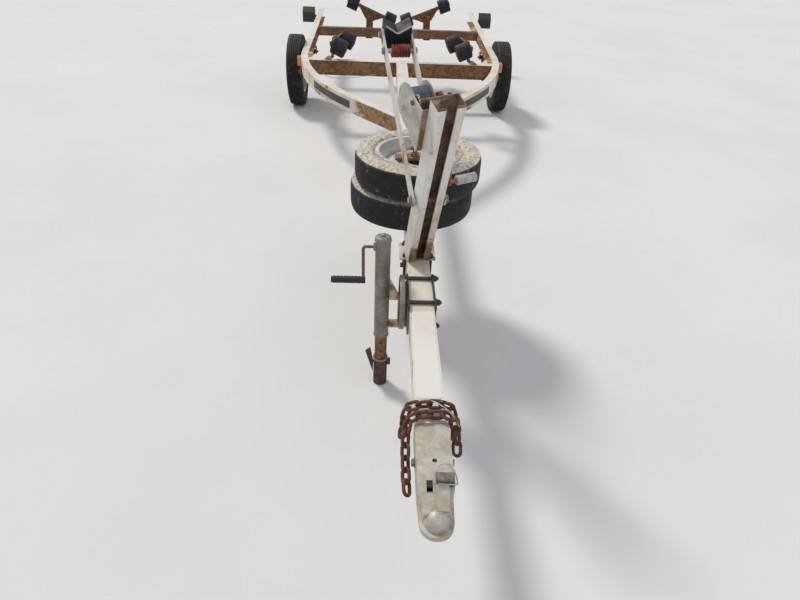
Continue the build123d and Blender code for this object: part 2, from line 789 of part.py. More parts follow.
def along_arm(back):
    """(y, z) in the stand's frame, a distance back from the bow arms' top pin."""
    low = Vector(*bow_arm_low)
    high = Vector(*bow_arm_high)
    spot = high - (high - low).normalized() * back
    return (spot.X, spot.Y)


def bow_arms():
    """Two flat arms from the post to the bow stop, joined by their three cross pins."""
    low = Vector(*bow_arm_low)
    high = Vector(*bow_arm_high)
    run = high - low
    plane = Plane(origin=(0, low.X, low.Y), x_dir=(0, run.X, run.Y), z_dir=(1, 0, 0))
    inner = bow_arm_gap / 2
    arms = None
    for start in (-inner - bow_arm_thick, inner):
        bar = SlotCenterToCenter(run.length, bow_arm_width)
        arm = plane * (Pos(run.length / 2, 0, start) * extrude(bar, bow_arm_thick))
        arms = arm if arms is None else arms + arm
    reach = inner + bow_arm_thick + 10
    for spot in (tuple(bow_arm_low), along_arm(bow_roller_back), tuple(bow_arm_high)):
        arms += rod((-reach, *spot), (reach, *spot), bow_pin_radius)
    return stand_frame() * arms


def bow_block():
    """Rubber V block between the arms' tips, its groove facing the bow."""
    half = bow_arm_gap / 2 - seat_gap
    y, z = bow_arm_high
    outline = [(-half, bow_block_low), (half, bow_block_low), (half, bow_block_high),
               (0, bow_block_high - bow_block_notch), (-half, bow_block_high)]
    solid = front_plate(outline, -bow_block_depth / 2, bow_block_depth / 2)
    solid = Pos(0, y, z) * Rot(18, 0, 0) * solid
    return stand_frame() * (solid - rod((-bow_arm_gap, y, z), (bow_arm_gap, y, z), bow_pin_radius + pin_gap))


def bow_roller():
    """Small ribbed roller below the V block."""
    spot = along_arm(bow_roller_back)
    roller = rod((bow_roller_span[0], *spot), (bow_roller_span[1], *spot), bow_roller_radius)
    return stand_frame() * (roller - rod((-bow_arm_gap, *spot), (bow_arm_gap, *spot), bow_pin_radius + pin_gap))


# Winch.

def winch_frame():
    """Bent plate on the post's back: a base and two cheeks with the shafts' bearings."""
    back = post_depth / 2
    base_low = drum_along - gear_radius - winch_base_margin
    base_high = pinion_along + 16
    frame = block((winch_left, winch_right), (back, back + winch_plate), (base_low, base_high))
    outline = [(back, base_low), (drum_behind + 12, drum_along - 18), (drum_behind + 20, drum_along),
               (drum_behind + 12, drum_along + 18), (pinion_behind + 10, base_high), (back, base_high)]
    for x in (winch_left, winch_right - winch_plate):
        frame += side_plate(outline, x, x + winch_plate)
    frame -= rod((winch_left - 1, drum_behind, drum_along), (winch_right + 1, drum_behind, drum_along),
                 drum_shaft_radius + pin_gap)
    frame -= rod((winch_left - 1, pinion_behind, pinion_along), (winch_right + 1, pinion_behind, pinion_along),
                 pinion_shaft_radius + pin_gap)
    return post_frame() * frame


def drum_places():
    """X of the gear's two faces, the strap's two sides and the far flange's two faces."""
    gear = winch_left + winch_plate + run_gap
    strap = gear + gear_thick + seat_gap
    flange = strap + strap_width + seat_gap
    return gear, gear + gear_thick, strap, strap + strap_width, flange, flange + drum_flange


def winch_drum():
    """Shaft, core, large gear and far flange of the drum."""
    places = drum_places()
    spot = (drum_behind, drum_along)
    drum = rod((winch_left - 6, *spot), (winch_right + 5, *spot), drum_shaft_radius)
    drum += rod((places[0], *spot), (places[1], *spot), gear_radius)
    drum += rod((places[1], *spot), (places[4], *spot), drum_core_radius)
    drum += rod((places[4], *spot), (places[5], *spot), drum_flange_radius)
    return post_frame() * drum


def winch_strap():
    """Webbing wound on the drum."""
    places = drum_places()
    spot = (drum_behind, drum_along)
    strap = rod((places[2], *spot), (places[3], *spot), strap_radius)
    core = rod((places[2] - 1, *spot), (places[3] + 1, *spot), drum_core_radius)
    return post_frame() * (strap - core)


def winch_crank():
    """Pinion shaft with its pinion and the flat crank arm, which hangs straight down."""
    places = drum_places()
    spot = (pinion_behind, pinion_along)
    pinion_radius = gear_radius * pinion_teeth / gear_teeth
    crank = rod((winch_left - 6, *spot), (winch_crank_x + winch_crank_thick + 8, *spot), pinion_shaft_radius)
    crank += rod((places[0], *spot), (places[1], *spot), pinion_radius)
    angle = math.radians(post_lean)
    down = Vector(0, -math.sin(angle), -math.cos(angle))
    plane = Plane(origin=(winch_crank_x, *spot), x_dir=down, z_dir=(1, 0, 0))
    bar = SlotCenterToCenter(winch_crank_length, winch_crank_width)
    crank += plane * (Pos(winch_crank_length / 2, 0, 0) * extrude(bar, winch_crank_thick))
    tip = Vector(winch_crank_x, *spot) + down * winch_crank_length
    end = winch_crank_x + winch_crank_thick + winch_grip_gap + winch_grip_length + 4
    crank += rod((tip.X, tip.Y, tip.Z), (end, tip.Y, tip.Z), 6.0)
    return post_frame() * crank


def winch_grip():
    """Round grip at the crank's end."""
    angle = math.radians(post_lean)
    y = pinion_behind - math.sin(angle) * winch_crank_length
    z = pinion_along - math.cos(angle) * winch_crank_length
    start = winch_crank_x + winch_crank_thick + winch_grip_gap
    grip = rod((start, y, z), (start + winch_grip_length, y, z), winch_grip_radius)
    grip = fillet(grip.edges().filter_by(GeomType.CIRCLE), 4)
    return post_frame() * (grip - rod((start - 1, y, z), (start + winch_grip_length + 1, y, z), 6.0 + pin_gap))


# Spare wheel carrier.

def spare_carrier():
    """Foot on the tongue, the long stud through both wheels and the clamp bar with its nut."""
    y = y_at(spare_station)
    top = frame_top + 2 * (tyre_width + seat_gap) + 6
    disc_top = spare_plane(1).origin.Z + 8
    foot = block((-30, 30), (y - 30, y + 30), (frame_top, frame_top + 10))
    stud = rod((0, y, frame_top), (0, y, top), carrier_stud_radius)
    bar = block((-carrier_clamp_length / 2, carrier_clamp_length / 2),
                (y - carrier_clamp_width / 2, y + carrier_clamp_width / 2),
                (disc_top + 8 + seat_gap, disc_top + 8 + seat_gap + carrier_clamp_thick))
    nut = rod((0, y, disc_top + 8 + carrier_clamp_thick), (0, y, disc_top + 22 + carrier_clamp_thick), 15.0)
    return foot + stud + bar + nut


# Hull rollers.

def roller_solid(start, radius_bore):
    """A roller along X from start, with its bore."""
    body = rod((start, 0, 0), (start + roller_length, 0, 0), roller_radius)
    body = fillet(body.edges().filter_by(GeomType.CIRCLE), 6)
    return body - rod((start - 1, 0, 0), (start + roller_length + 1, 0, 0), radius_bore)


def rocker_location():
    """Frame of the right rocker: X along its pivot, outward and up."""
    return Pos(rocker_x, y_at(rocker_station), rocker_z) * Rot(0, 0, rocker_yaw) * Rot(0, -hull_tilt, 0)


def rocker():
    """Right rocker: flat bar with two stub axles and their end washers."""
    plane = Plane(origin=(0, 0, 0), x_dir=(0, 1, 0), z_dir=(1, 0, 0))
    bar = plane * extrude(SlotCenterToCenter(2 * rocker_half, rocker_height), rocker_thick)
    inner = -run_gap - roller_length - seat_gap
    for side in (-1, 1):
        y = side * rocker_half
        bar += rod((inner - roller_end_cap, y, 0), (rocker_thick + 8, y, 0), roller_axle_radius)
        bar += rod((inner - roller_end_cap, y, 0), (inner, y, 0), roller_axle_radius + 9)
    bar -= rod((-1, 0, 0), (rocker_thick + 1, 0, 0), rocker_pin_radius + pin_gap)
    return rocker_location() * bar


def rocker_roller(side):
    """One roller of the right rocker: side -1 in front, 1 behind."""
    roller = roller_solid(-run_gap - roller_length, roller_axle_radius + pin_gap)
    return rocker_location() * Pos(0, side * rocker_half, 0) * roller


def rocker_post():
    """Upright plate on the front cross-member, bent to face the rocker, with its pivot pin."""
    place = rocker_location()
    near = rocker_thick + run_gap
    far = near + rocker_upright
    head = place * (rod((-12, 0, 0), (far, 0, 0), rocker_pin_radius) + rod((near, 0, 0), (far, 0, 0), 26.0))
    tilt = math.radians(hull_tilt)
    corners = [(x * math.cos(tilt) - z * math.sin(tilt), rocker_z + x * math.sin(tilt) + z * math.cos(tilt))
               for x, z in ((far, -rocker_neck), (far, 10), (near, 10), (near, -rocker_neck))]
    foot_x = corners[3][0]
    outline = [(foot_x, frame_top), (foot_x + rocker_upright, frame_top)] + corners
    half = 24
    leg = front_plate(outline, -half, half)
    leg += block((foot_x, foot_x + 44), (-half - 50, half), (frame_top, frame_top + 6))
    return head + Pos(rocker_x, y_at(rocker_station), 0) * Rot(0, 0, rocker_yaw) * leg


def cradle_location():
    """Frame of the right cradle: X along its axle rod, outward and up."""
    station = rear_member_station + member_depth + cradle_behind_member
    return Pos(cradle_x, y_at(station), cradle_z) * Rot(0, -hull_tilt, 0)


def cradle():
    """Right cradle: a plate hung on its pivot, with the axle rod of its two rollers."""
    half = cradle_plate / 2
    inner = cradle_roller_offset - roller_length / 2 - run_gap
    outline = [(-inner + 6, 14), (-inner + 6, -10), (-34, -cradle_drop - 24), (34, -cradle_drop - 24),
               (inner - 6, -10), (inner - 6, 14)]
    body = front_plate(outline, -half, half)
    reach = cradle_roller_offset + roller_length / 2 + seat_gap
    body += rod((-reach - roller_end_cap, 0, 0), (reach + roller_end_cap, 0, 0), roller_axle_radius)
    for side in (-1, 1):
        body += rod((side * reach, 0, 0), (side * (reach + roller_end_cap), 0, 0), roller_axle_radius + 9)
        body += rod((side * (inner - 6), 0, 0), (side * inner, 0, 0), roller_axle_radius + 9)
    body -= rod((0, -half - 1, -cradle_drop), (0, half + 1, -cradle_drop), cradle_pin_radius + pin_gap)
    return cradle_location() * body


def cradle_roller(side):
    """One roller of the right cradle: side -1 inboard, 1 outboard."""
    start = side * cradle_roller_offset - roller_length / 2
    return cradle_location() * roller_solid(start, roller_axle_radius + pin_gap)


def cradle_post():
    """Clevis behind the rear cross-member with the cradle's pivot pin."""
    pivot = (cradle_location() * Pos(0, 0, -cradle_drop)).position
    y = pivot.Y
    gap = cradle_plate / 2 + run_gap
    outer = gap + cradle_clevis
    half = cradle_post_width / 2
    low = frame_top - rail_height
    back = y_at(rear_member_station + member_depth)
    post = block((pivot.X - half, pivot.X + half), (back, y + outer), (low, low + 40))
    for start in (y - outer, y + gap):
        post += block((pivot.X - half, pivot.X + half), (start, start + cradle_clevis), (low + 40, pivot.Z))
        post += rod((pivot.X, start, pivot.Z), (pivot.X, start + cradle_clevis, pivot.Z), half)
    post += block((pivot.X - half, pivot.X + half), (back, back + 8), (low, frame_top))
    post += rod((pivot.X, y - outer - 10, pivot.Z), (pivot.X, y + outer + 10, pivot.Z), cradle_pin_radius)
    return post


# Lamps.

def tail_lamp():
    """Right tail lamp's housing, its front sloped back, on a bracket from the rail's outer face."""
    y = y_at(tail_lamp_station)
    near = tail_lamp_x - tail_lamp_width / 2
    outline = [(y, tail_lamp_low), (y + tail_lamp_depth, tail_lamp_low), (y + tail_lamp_depth, tail_lamp_high),
               (y + tail_lamp_depth - 16, tail_lamp_high), (y, tail_lamp_brow)]
    housing = side_plate(outline, near, near + tail_lamp_width)
    face = rail_side(tail_lamp_station, 0)
    gap = near - face.position.X + 6
    bracket = face * block((0, 5), (-60, 6), (tail_lamp_low, frame_top - 10))
    bracket += face * block((0, gap), (0, 6), (tail_lamp_low, frame_top - 10))
    return housing + bracket


def tail_lens():
    """Red lens on the back of the right tail lamp."""
    y = y_at(tail_lamp_station) + tail_lamp_depth
    half = tail_lamp_width / 2 - 4
    lens = block((tail_lamp_x - half, tail_lamp_x + half), (y, y + lens_thick),
                 (tail_lamp_low + 4, tail_lamp_high - 4))
    return fillet(lens.edges().group_by(Axis.Y)[-1], 5)


def marker_lamp():
    """Amber side marker on the right rail's outer face."""
    wide, long, tall = marker_size
    lamp = block((0, wide), (-long / 2, long / 2), (-tall / 2, tall / 2))
    lamp = fillet(lamp.edges().group_by(Axis.X)[-1], 5)
    return rail_side(marker_station, frame_top - rail_height / 2) * lamp


def build_parts():
    """Every node's name with its solid."""
    nodes = {
        "tongue": tongue(),
        "front_cross_member": cross_member(front_member_station, front_member_height),
        "rear_cross_member": cross_member(rear_member_station, rear_member_height),
        "axle_beam": axle_beam(),
        "spring_hangers": spring_hangers(),
        "spare_tyres": tyre(spare_plane(0), spare_radius) + tyre(spare_plane(1), spare_radius),
        "spare_rims": wheel(spare_plane(0), False) + wheel(spare_plane(1), False),
        "spare_carrier": spare_carrier(),
        "coupler_body": coupler_body(),
        "coupler_latch": coupler_latch(),
        "safety_chain": safety_chain(),
        "jack_mount": jack_mount(),
        "jack_tube": jack_tube(),
        "jack_leg": jack_leg(),
        "jack_foot": jack_foot(),
        "jack_crank": jack_crank(),
        "jack_grip": jack_grip(),
        "winch_post": winch_post(),
        "base_clamp": base_clamp(),
        "bow_arms": bow_arms(),
        "bow_block": bow_block(),
        "bow_roller": bow_roller(),
        "winch_frame": winch_frame(),
        "winch_drum": winch_drum(),
        "winch_strap": winch_strap(),
        "winch_crank": winch_crank(),
        "winch_grip": winch_grip(),
    }
    # Pieces made once for the right side and mirrored for the left: name, shape.
    pairs = (
        ("leaf_spring", leaf_spring()),
        ("rocker", rocker()),
        ("front_roller_fore", rocker_roller(-1)),
        ("front_roller_aft", rocker_roller(1)),
        ("cradle", cradle()),
        ("rear_roller_inner", cradle_roller(-1)),
        ("rear_roller_outer", cradle_roller(1)),
    )
    for name, shape in pairs:
        nodes[name + "_right"] = shape
        nodes[name + "_left"] = mirrored(shape)
    nodes["side_rail_right"] = side_rail(tongue_width / 2 + tongue_x)
    nodes["side_rail_left"] = mirrored(side_rail(tongue_width / 2 - tongue_x))
    # Like pieces of the root body that share a node, left and right: name, shape.
    shared = (
        ("corner_gussets", corner_gusset()),
        ("rocker_posts", rocker_post()),
        ("cradle_posts", cradle_post()),
        ("tail_lamps", tail_lamp()),
        ("tail_lenses", tail_lens()),
        ("marker_lamps", marker_lamp()),
    )
    for name, shape in shared:
        nodes[name] = shape + mirrored(shape)
    for name, side in (("right", 1), ("left", -1)):
        nodes["tyre_" + name] = tyre(wheel_plane(side), tyre_radius)
        nodes["wheel_" + name] = wheel(wheel_plane(side), True)
    return nodes


for node, shape in build_parts().items():
    export_step(shape, f"parts/{node}.step")
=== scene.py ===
"""Looks of a single axle boat trailer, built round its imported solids."""
import logging
import math
from dataclasses import dataclass
from enum import Enum
from itertools import product
from typing import Callable, Sequence

import bmesh
import bpy
from mathutils import Matrix, Vector
from mathutils.bvhtree import BVHTree

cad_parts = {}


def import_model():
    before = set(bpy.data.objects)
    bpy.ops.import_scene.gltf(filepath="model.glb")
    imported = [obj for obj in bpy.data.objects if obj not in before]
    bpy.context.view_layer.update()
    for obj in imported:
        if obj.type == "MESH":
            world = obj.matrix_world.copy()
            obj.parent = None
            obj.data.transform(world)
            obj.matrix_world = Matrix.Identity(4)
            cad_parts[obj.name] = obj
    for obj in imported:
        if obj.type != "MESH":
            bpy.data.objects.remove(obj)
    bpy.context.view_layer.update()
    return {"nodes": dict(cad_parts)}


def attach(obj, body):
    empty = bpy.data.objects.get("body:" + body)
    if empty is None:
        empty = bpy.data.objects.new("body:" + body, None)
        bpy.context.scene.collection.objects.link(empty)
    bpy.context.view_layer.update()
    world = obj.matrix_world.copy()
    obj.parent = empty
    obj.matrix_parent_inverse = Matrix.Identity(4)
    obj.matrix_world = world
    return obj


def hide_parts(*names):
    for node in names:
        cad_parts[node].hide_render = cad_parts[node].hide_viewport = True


LOG = logging.getLogger("trailer")
MM = 0.001
HALF_LENGTH = 2956.0
FRAME_TOP = 460.0
SHARP_EDGE = math.radians(35)
SIDES = (("right", 1.0), ("left", -1.0))
BOTH = (-1, 1)
UP = Vector((0, 0, 1))
IDENTITY = Matrix.Identity(4)

Colour = tuple[float, float, float, float]
Spot = tuple[float, float, float]
Flat = tuple[float, float]
Placed = tuple[Vector, Vector]
Value = bpy.types.NodeSocket | float
Shade = bpy.types.NodeSocket | Colour


class Body(str, Enum):
    """Bodies of the frame, jack, winch and bow stop; wheels and hull rollers go by their own names."""

    FRAME = "frame"
    JACK = "jack"
    JACK_LEG = "jack_leg"
    JACK_CRANK = "jack_crank"
    DRUM = "winch_drum"
    CRANK = "winch_crank"
    BOW_ROLLER = "bow_roller"


def behind(station: float) -> float:
    """Y in millimetres of a distance behind the coupler's nose."""
    return station - HALF_LENGTH


def from_nose(corners: Sequence[Spot]) -> list[Spot]:
    """Corners whose second number was a distance behind the nose."""
    return [(x, behind(station), z) for x, station, z in corners]


def srgb(red: int, green: int, blue: int) -> Colour:
    """Linear colour of a screen colour.

    Args:
        red: its red, from 0 to 255.
        green: its green.
        blue: its blue.

    Returns:
        The linear colour, fully opaque.
    """
    channels = []
    for value in (red, green, blue):
        share = value / 255
        channels.append(share / 12.92 if share <= 0.04045 else ((share + 0.055) / 1.055) ** 2.4)
    return (*channels, 1.0)


def turn(axis: str, degrees: float) -> Matrix:
    """Rotation matrix about a named axis."""
    return Matrix.Rotation(math.radians(degrees), 4, axis)


def shift(x: float, y: float, z: float) -> Matrix:
    """Translation matrix, in millimetres."""
    return Matrix.Translation((x, y, z))


def around(count: int) -> list[Flat]:
    """Cosine and sine of even steps round a circle."""
    angles = [2 * math.pi * step / count for step in range(count)]
    return [(math.cos(angle), math.sin(angle)) for angle in angles]


# Places, in millimetres, of the stand on the tongue, its leaning post, the right rocker and the right cradle.
STAND = shift(0, behind(1054), FRAME_TOP + 6) @ turn("Z", 10.0)
POST = STAND @ turn("X", 22.0) @ turn("Z", 11.5)
ROCKER = shift(460, behind(3842), 582) @ turn("Z", 11.0) @ turn("Y", -22.0)
CRADLE = shift(236, behind(5082), 575) @ turn("Y", -22.0)
MIRROR = Matrix.Scale(-1, 4, (1, 0, 0))


# Shader trees.

class ShaderTree:
    """Adds and links shader nodes in few words."""

    def __init__(self, tree: bpy.types.NodeTree) -> None:
        """Keeps the tree that the nodes are added to."""
        self.tree = tree

    def add(self, kind: str, inputs: dict | None = None, **settings: object) -> bpy.types.Node:
        """Adds one node.

        Args:
            kind: the node's type without its ShaderNode prefix.
            inputs: value or source socket for each named or numbered input.
            settings: the node's own properties.

        Returns:
            The new node.
        """
        node = self.tree.nodes.new("ShaderNode" + kind)
        for name, value in settings.items():
            setattr(node, name, value)
        for name, value in (inputs or {}).items():
            if isinstance(value, bpy.types.NodeSocket):
                self.tree.links.new(value, node.inputs[name])
            else:
                node.inputs[name].default_value = value
        return node

    def maths(self, operation: str, first: Value, second: Value = 0.0, third: Value = 0.0) -> bpy.types.NodeSocket:
        """Result of one math node."""
        node = self.add("Math", {0: first, 1: second, 2: third}, operation=operation)
        return node.outputs[0]

    def blend(self, share: Value, low: Shade, high: Shade) -> bpy.types.NodeSocket:
        """Colour between two colours by a share."""
        node = self.add("Mix", {0: share, 6: low, 7: high}, data_type="RGBA")
        return node.outputs[2]

    def ramp(self, value: Value, low: Value, high: Value, start: Value = 0.0,
             end: Value = 1.0) -> bpy.types.NodeSocket:
        """Value mapped smoothly from one range to another, and kept inside it."""
        node = self.add("MapRange", {"Value": value, "From Min": low, "From Max": high, "To Min": start,
                                     "To Max": end}, interpolation_type="SMOOTHSTEP")
        return node.outputs["Result"]

    def noise(self, vector: bpy.types.NodeSocket, scale: Value, detail: float = 6.0,
              roughness: float = 0.6) -> bpy.types.NodeSocket:
        """Value of a noise texture."""
        node = self.add("TexNoise", {"Vector": vector, "Scale": scale, "Detail": detail, "Roughness": roughness})
        return node.outputs["Fac"]

    def upward(self) -> bpy.types.NodeSocket:
        """How far each face looks up, from -1 to 1."""
        normal = self.add("NewGeometry").outputs["Normal"]
        return self.add("SeparateXYZ", {0: normal}).outputs["Z"]

    def local(self, vector: bpy.types.NodeSocket, place: Matrix) -> bpy.types.NodeSocket:
        """Coordinates seen from a place that is given in millimetres."""
        node = self.add("Mapping", {"Vector": vector, "Location": place.translation * MM,
                                    "Rotation": place.to_euler("XYZ")}, vector_type="TEXTURE")
        return node.outputs[0]

    def group(self, name: str, inputs: dict) -> bpy.types.Node:
        """Places a shared group with its own values."""
        return self.add("Group", inputs, node_tree=bpy.data.node_groups[name])


class SharedEffects:
    """Shader node groups that more than one finish uses."""

    DEFAULTS = {"Scale": 10.0, "Amount": 0.5, "Softness": 0.04}
    COARSE_SHARE = 0.72
    FINE_SHARE = 0.28
    FINE_RATIO = 7.0
    PATCH_LEVEL = 0.74
    PATCH_REACH = 0.48
    GRAIN_RATIO = 6.0
    GRAIN_SHARE = 0.45
    RUN_STRETCH = (1.0, 1.0, 0.09)
    RUN_LEVEL = 0.72
    RUN_REACH = 0.4
    RUN_EDGE = 0.16

    def _start(self, name: str, inputs: Sequence[str], output: str) -> tuple[ShaderTree, dict, Callable]:
        """Begins a group.

        Args:
            name: the group's name.
            inputs: names of its inputs.
            output: name of its only output.

        Returns:
            The tree, its input sockets by name, and a function that links the output.
        """
        tree = bpy.data.node_groups.new(name, "ShaderNodeTree")
        for key in inputs:
            kind = "NodeSocketVector" if key == "Vector" else "NodeSocketFloat"
            socket = tree.interface.new_socket(name=key, in_out="INPUT", socket_type=kind)
            if key in self.DEFAULTS:
                socket.default_value = self.DEFAULTS[key]
        tree.interface.new_socket(name=output, in_out="OUTPUT", socket_type="NodeSocketFloat")
        entry = tree.nodes.new("NodeGroupInput")
        leave = tree.nodes.new("NodeGroupOutput")
        sockets = {key: entry.outputs[key] for key in inputs}
        return ShaderTree(tree), sockets, lambda value: tree.links.new(value, leave.inputs[output])

    def patches(self) -> None:
        """Ragged patches, such as rust through paint: Amount 0 is none and 1 is all."""
        shader, given, done = self._start("Patches", ("Vector", "Scale", "Amount", "Softness"), "Mask")
        coarse = shader.noise(given["Vector"], given["Scale"], 9.0, 0.62)
        fine = shader.noise(given["Vector"], shader.maths("MULTIPLY", given["Scale"], self.FINE_RATIO), 5.0, 0.7)
        value = shader.maths("ADD", shader.maths("MULTIPLY", coarse, self.COARSE_SHARE),
                             shader.maths("MULTIPLY", fine, self.FINE_SHARE))
        level = shader.maths("SUBTRACT", self.PATCH_LEVEL, shader.maths("MULTIPLY", given["Amount"], self.PATCH_REACH))
        low = shader.maths("SUBTRACT", level, given["Softness"])
        high = shader.maths("ADD", level, given["Softness"])
        done(shader.ramp(value, low, high))

    def grain(self) -> None:
        """Height of a fine uneven surface."""
        shader, given, done = self._start("Surface grain", ("Vector", "Scale"), "Height")
        coarse = shader.noise(given["Vector"], given["Scale"], 4.0, 0.6)
        fine = shader.noise(given["Vector"], shader.maths("MULTIPLY", given["Scale"], self.GRAIN_RATIO), 3.0, 0.6)
        done(shader.maths("ADD", coarse, shader.maths("MULTIPLY", fine, self.GRAIN_SHARE)))

    def runs(self) -> None:
        """Stains that run down a side."""
        shader, given, done = self._start("Run stains", ("Vector", "Scale", "Amount"), "Mask")
        stretched = shader.add("VectorMath", {0: given["Vector"], 1: self.RUN_STRETCH}, operation="MULTIPLY")
        value = shader.noise(stretched.outputs[0], given["Scale"], 5.0, 0.6)
        level = shader.maths("SUBTRACT", self.RUN_LEVEL, shader.maths("MULTIPLY", given["Amount"], self.RUN_REACH))
        done(shader.ramp(value, level, shader.maths("ADD", level, self.RUN_EDGE)))

    def settled(self) -> None:
        """Dust that lies on faces which look up."""
        shader, given, done = self._start("Settled dust", ("Vector", "Scale", "Amount"), "Mask")
        facing = shader.ramp(shader.upward(), 0.15, 0.95)
        value = shader.noise(given["Vector"], given["Scale"], 7.0, 0.65)
        mottled = shader.ramp(value, 0.3, 0.68, 0.25, 1.0)
        done(shader.maths("MULTIPLY", shader.maths("MULTIPLY", facing, mottled), given["Amount"]))

    def build(self) -> None:
        """Makes all the groups once."""
        self.patches()
        self.grain()
        self.runs()
        self.settled()


def new_material(name: str) -> tuple[bpy.types.Material, ShaderTree, bpy.types.Node, bpy.types.NodeSocket]:
    """Starts a material.

    Args:
        name: the material's name.

    Returns:
        The material, its tree, its main shader and the object coordinates.
    """
    material = bpy.data.materials.new(name)
    material.use_nodes = True
    shader = ShaderTree(material.node_tree)
    surface = material.node_tree.nodes["Principled BSDF"]
    place = shader.add("TexCoord").outputs["Object"]
    return material, shader, surface, place


def finish_surface(shader: ShaderTree, surface: bpy.types.Node, colour: Shade, roughness: Value,
                   height: bpy.types.NodeSocket, strength: float, depth: float) -> None:
    """Links the colour, roughness and bump of a main shader.

    Args:
        shader: the material's tree.
        surface: its main shader.
        colour: base colour or its socket.
        roughness: roughness or its socket.
        height: height socket of the bump.
        strength: strength of the bump.
        depth: its height in metres.
    """
    bump = shader.add("Bump", {"Strength": strength, "Distance": depth, "Height": height})
    links = shader.tree.links
    links.new(bump.outputs["Normal"], surface.inputs["Normal"])
    for name, value in (("Base Color", colour), ("Roughness", roughness)):
        if isinstance(value, bpy.types.NodeSocket):
            links.new(value, surface.inputs[name])
        else:
            surface.inputs[name].default_value = value


@dataclass(frozen=True)
class Region:
    """A box in which a finish changes, such as the rusty inside of a painted post."""

    low: Spot
    high: Spot
    place: Matrix | None = None
    fade: Spot = (0.4, 0.4, 0.4)

    def mask(self, shader: ShaderTree, vector: bpy.types.NodeSocket) -> bpy.types.NodeSocket:
        """One inside the box and nought outside it.

        Args:
            shader: the material's tree.
            vector: object coordinates.

        Returns:
            The mask's socket.
        """
        if self.place is not None:
            vector = shader.local(vector, self.place)
        axes = shader.add("SeparateXYZ", {0: vector})
        inside = None
        for axis, low, high, fade in zip("XYZ", self.low, self.high, self.fade):
            middle = (low + high) / 2 * MM
            half = (high - low) / 2
            far = shader.maths("ABSOLUTE", shader.maths("SUBTRACT", axes.outputs[axis], middle))
            within = shader.ramp(far, half * MM, (half - fade) * MM)
            inside = shader.maths("MULTIPLY", inside, within) if inside else within
        return inside


@dataclass(frozen=True)
class PaintedSteel:
    """Old paint on steel, with chips, run stains and rusty sides.

    Bare regions are rusty nearly all over, worn ones in part, and shade regions are painted near-black as painted
    shade.
    """

    BARE_SHARE = 0.97
    WORN_SHARE = 0.62
    CHIP_SCALE = 9.0

    name: str
    paint: Colour
    stained: Colour
    rust: Colour
    pale_rust: Colour
    chips: float
    side_rust: float
    runs: float = 0.35
    gloss: float = 0.5
    bare: tuple[Region, ...] = ()
    worn: tuple[Region, ...] = ()
    shade_regions: tuple[Region, ...] = ()

    def build(self) -> bpy.types.Material:
        """Makes the material.

        Returns:
            The new material.
        """
        material, shader, surface, place = new_material(self.name)
        side = shader.ramp(shader.upward(), 0.75, 0.35)
        amount = shader.ramp(side, 0.0, 1.0, self.chips, self.side_rust)
        for share, regions in ((self.BARE_SHARE, self.bare), (self.WORN_SHARE, self.worn)):
            for region in regions:
                rusting = shader.maths("MULTIPLY", region.mask(shader, place), share)
                amount = shader.maths("MAXIMUM", amount, rusting)
        chips = shader.group("Patches", {"Vector": place, "Scale": self.CHIP_SCALE, "Amount": amount,
                                         "Softness": 0.035})
        specks = shader.group("Patches", {"Vector": place, "Scale": 70.0, "Amount": 0.12, "Softness": 0.02})
        rusty = shader.maths("MAXIMUM", chips.outputs["Mask"], specks.outputs["Mask"])
        runs = shader.group("Run stains", {"Vector": place, "Scale": 26.0, "Amount": self.runs})
        mottled = shader.noise(place, 5.0, 6.0)
        paint = shader.blend(shader.ramp(mottled, 0.42, 0.7), self.paint, self.stained)
        paint = shader.blend(shader.maths("MULTIPLY", runs.outputs["Mask"], 0.5), paint, self.pale_rust)
        halo = shader.group("Patches", {"Vector": place, "Scale": self.CHIP_SCALE,
                                        "Amount": shader.maths("ADD", amount, 0.1), "Softness": 0.09})
        paint = shader.blend(shader.maths("MULTIPLY", halo.outputs["Mask"], 0.45), paint, self.pale_rust)
        tone = shader.noise(place, 38.0, 8.0, 0.7)
        rust = shader.blend(shader.ramp(tone, 0.35, 0.65), self.rust, self.pale_rust)
        colour = shader.blend(rusty, paint, rust)
        # Painted shade: near-black laid over the shade regions.
        for region in self.shade_regions:
            colour = shader.blend(region.mask(shader, place), colour, PAINTED_SHADE)
        roughness = shader.ramp(rusty, 0.0, 1.0, self.gloss, 0.88)
        grain = shader.group("Surface grain", {"Vector": place, "Scale": 160.0})
        height = shader.maths("ADD", shader.maths("MULTIPLY", grain.outputs["Height"], 0.4),
                              shader.maths("MULTIPLY", shader.maths("MULTIPLY", rusty, tone), 1.6))
        finish_surface(shader, surface, colour, roughness, height, 0.5, 0.0007)
        return material


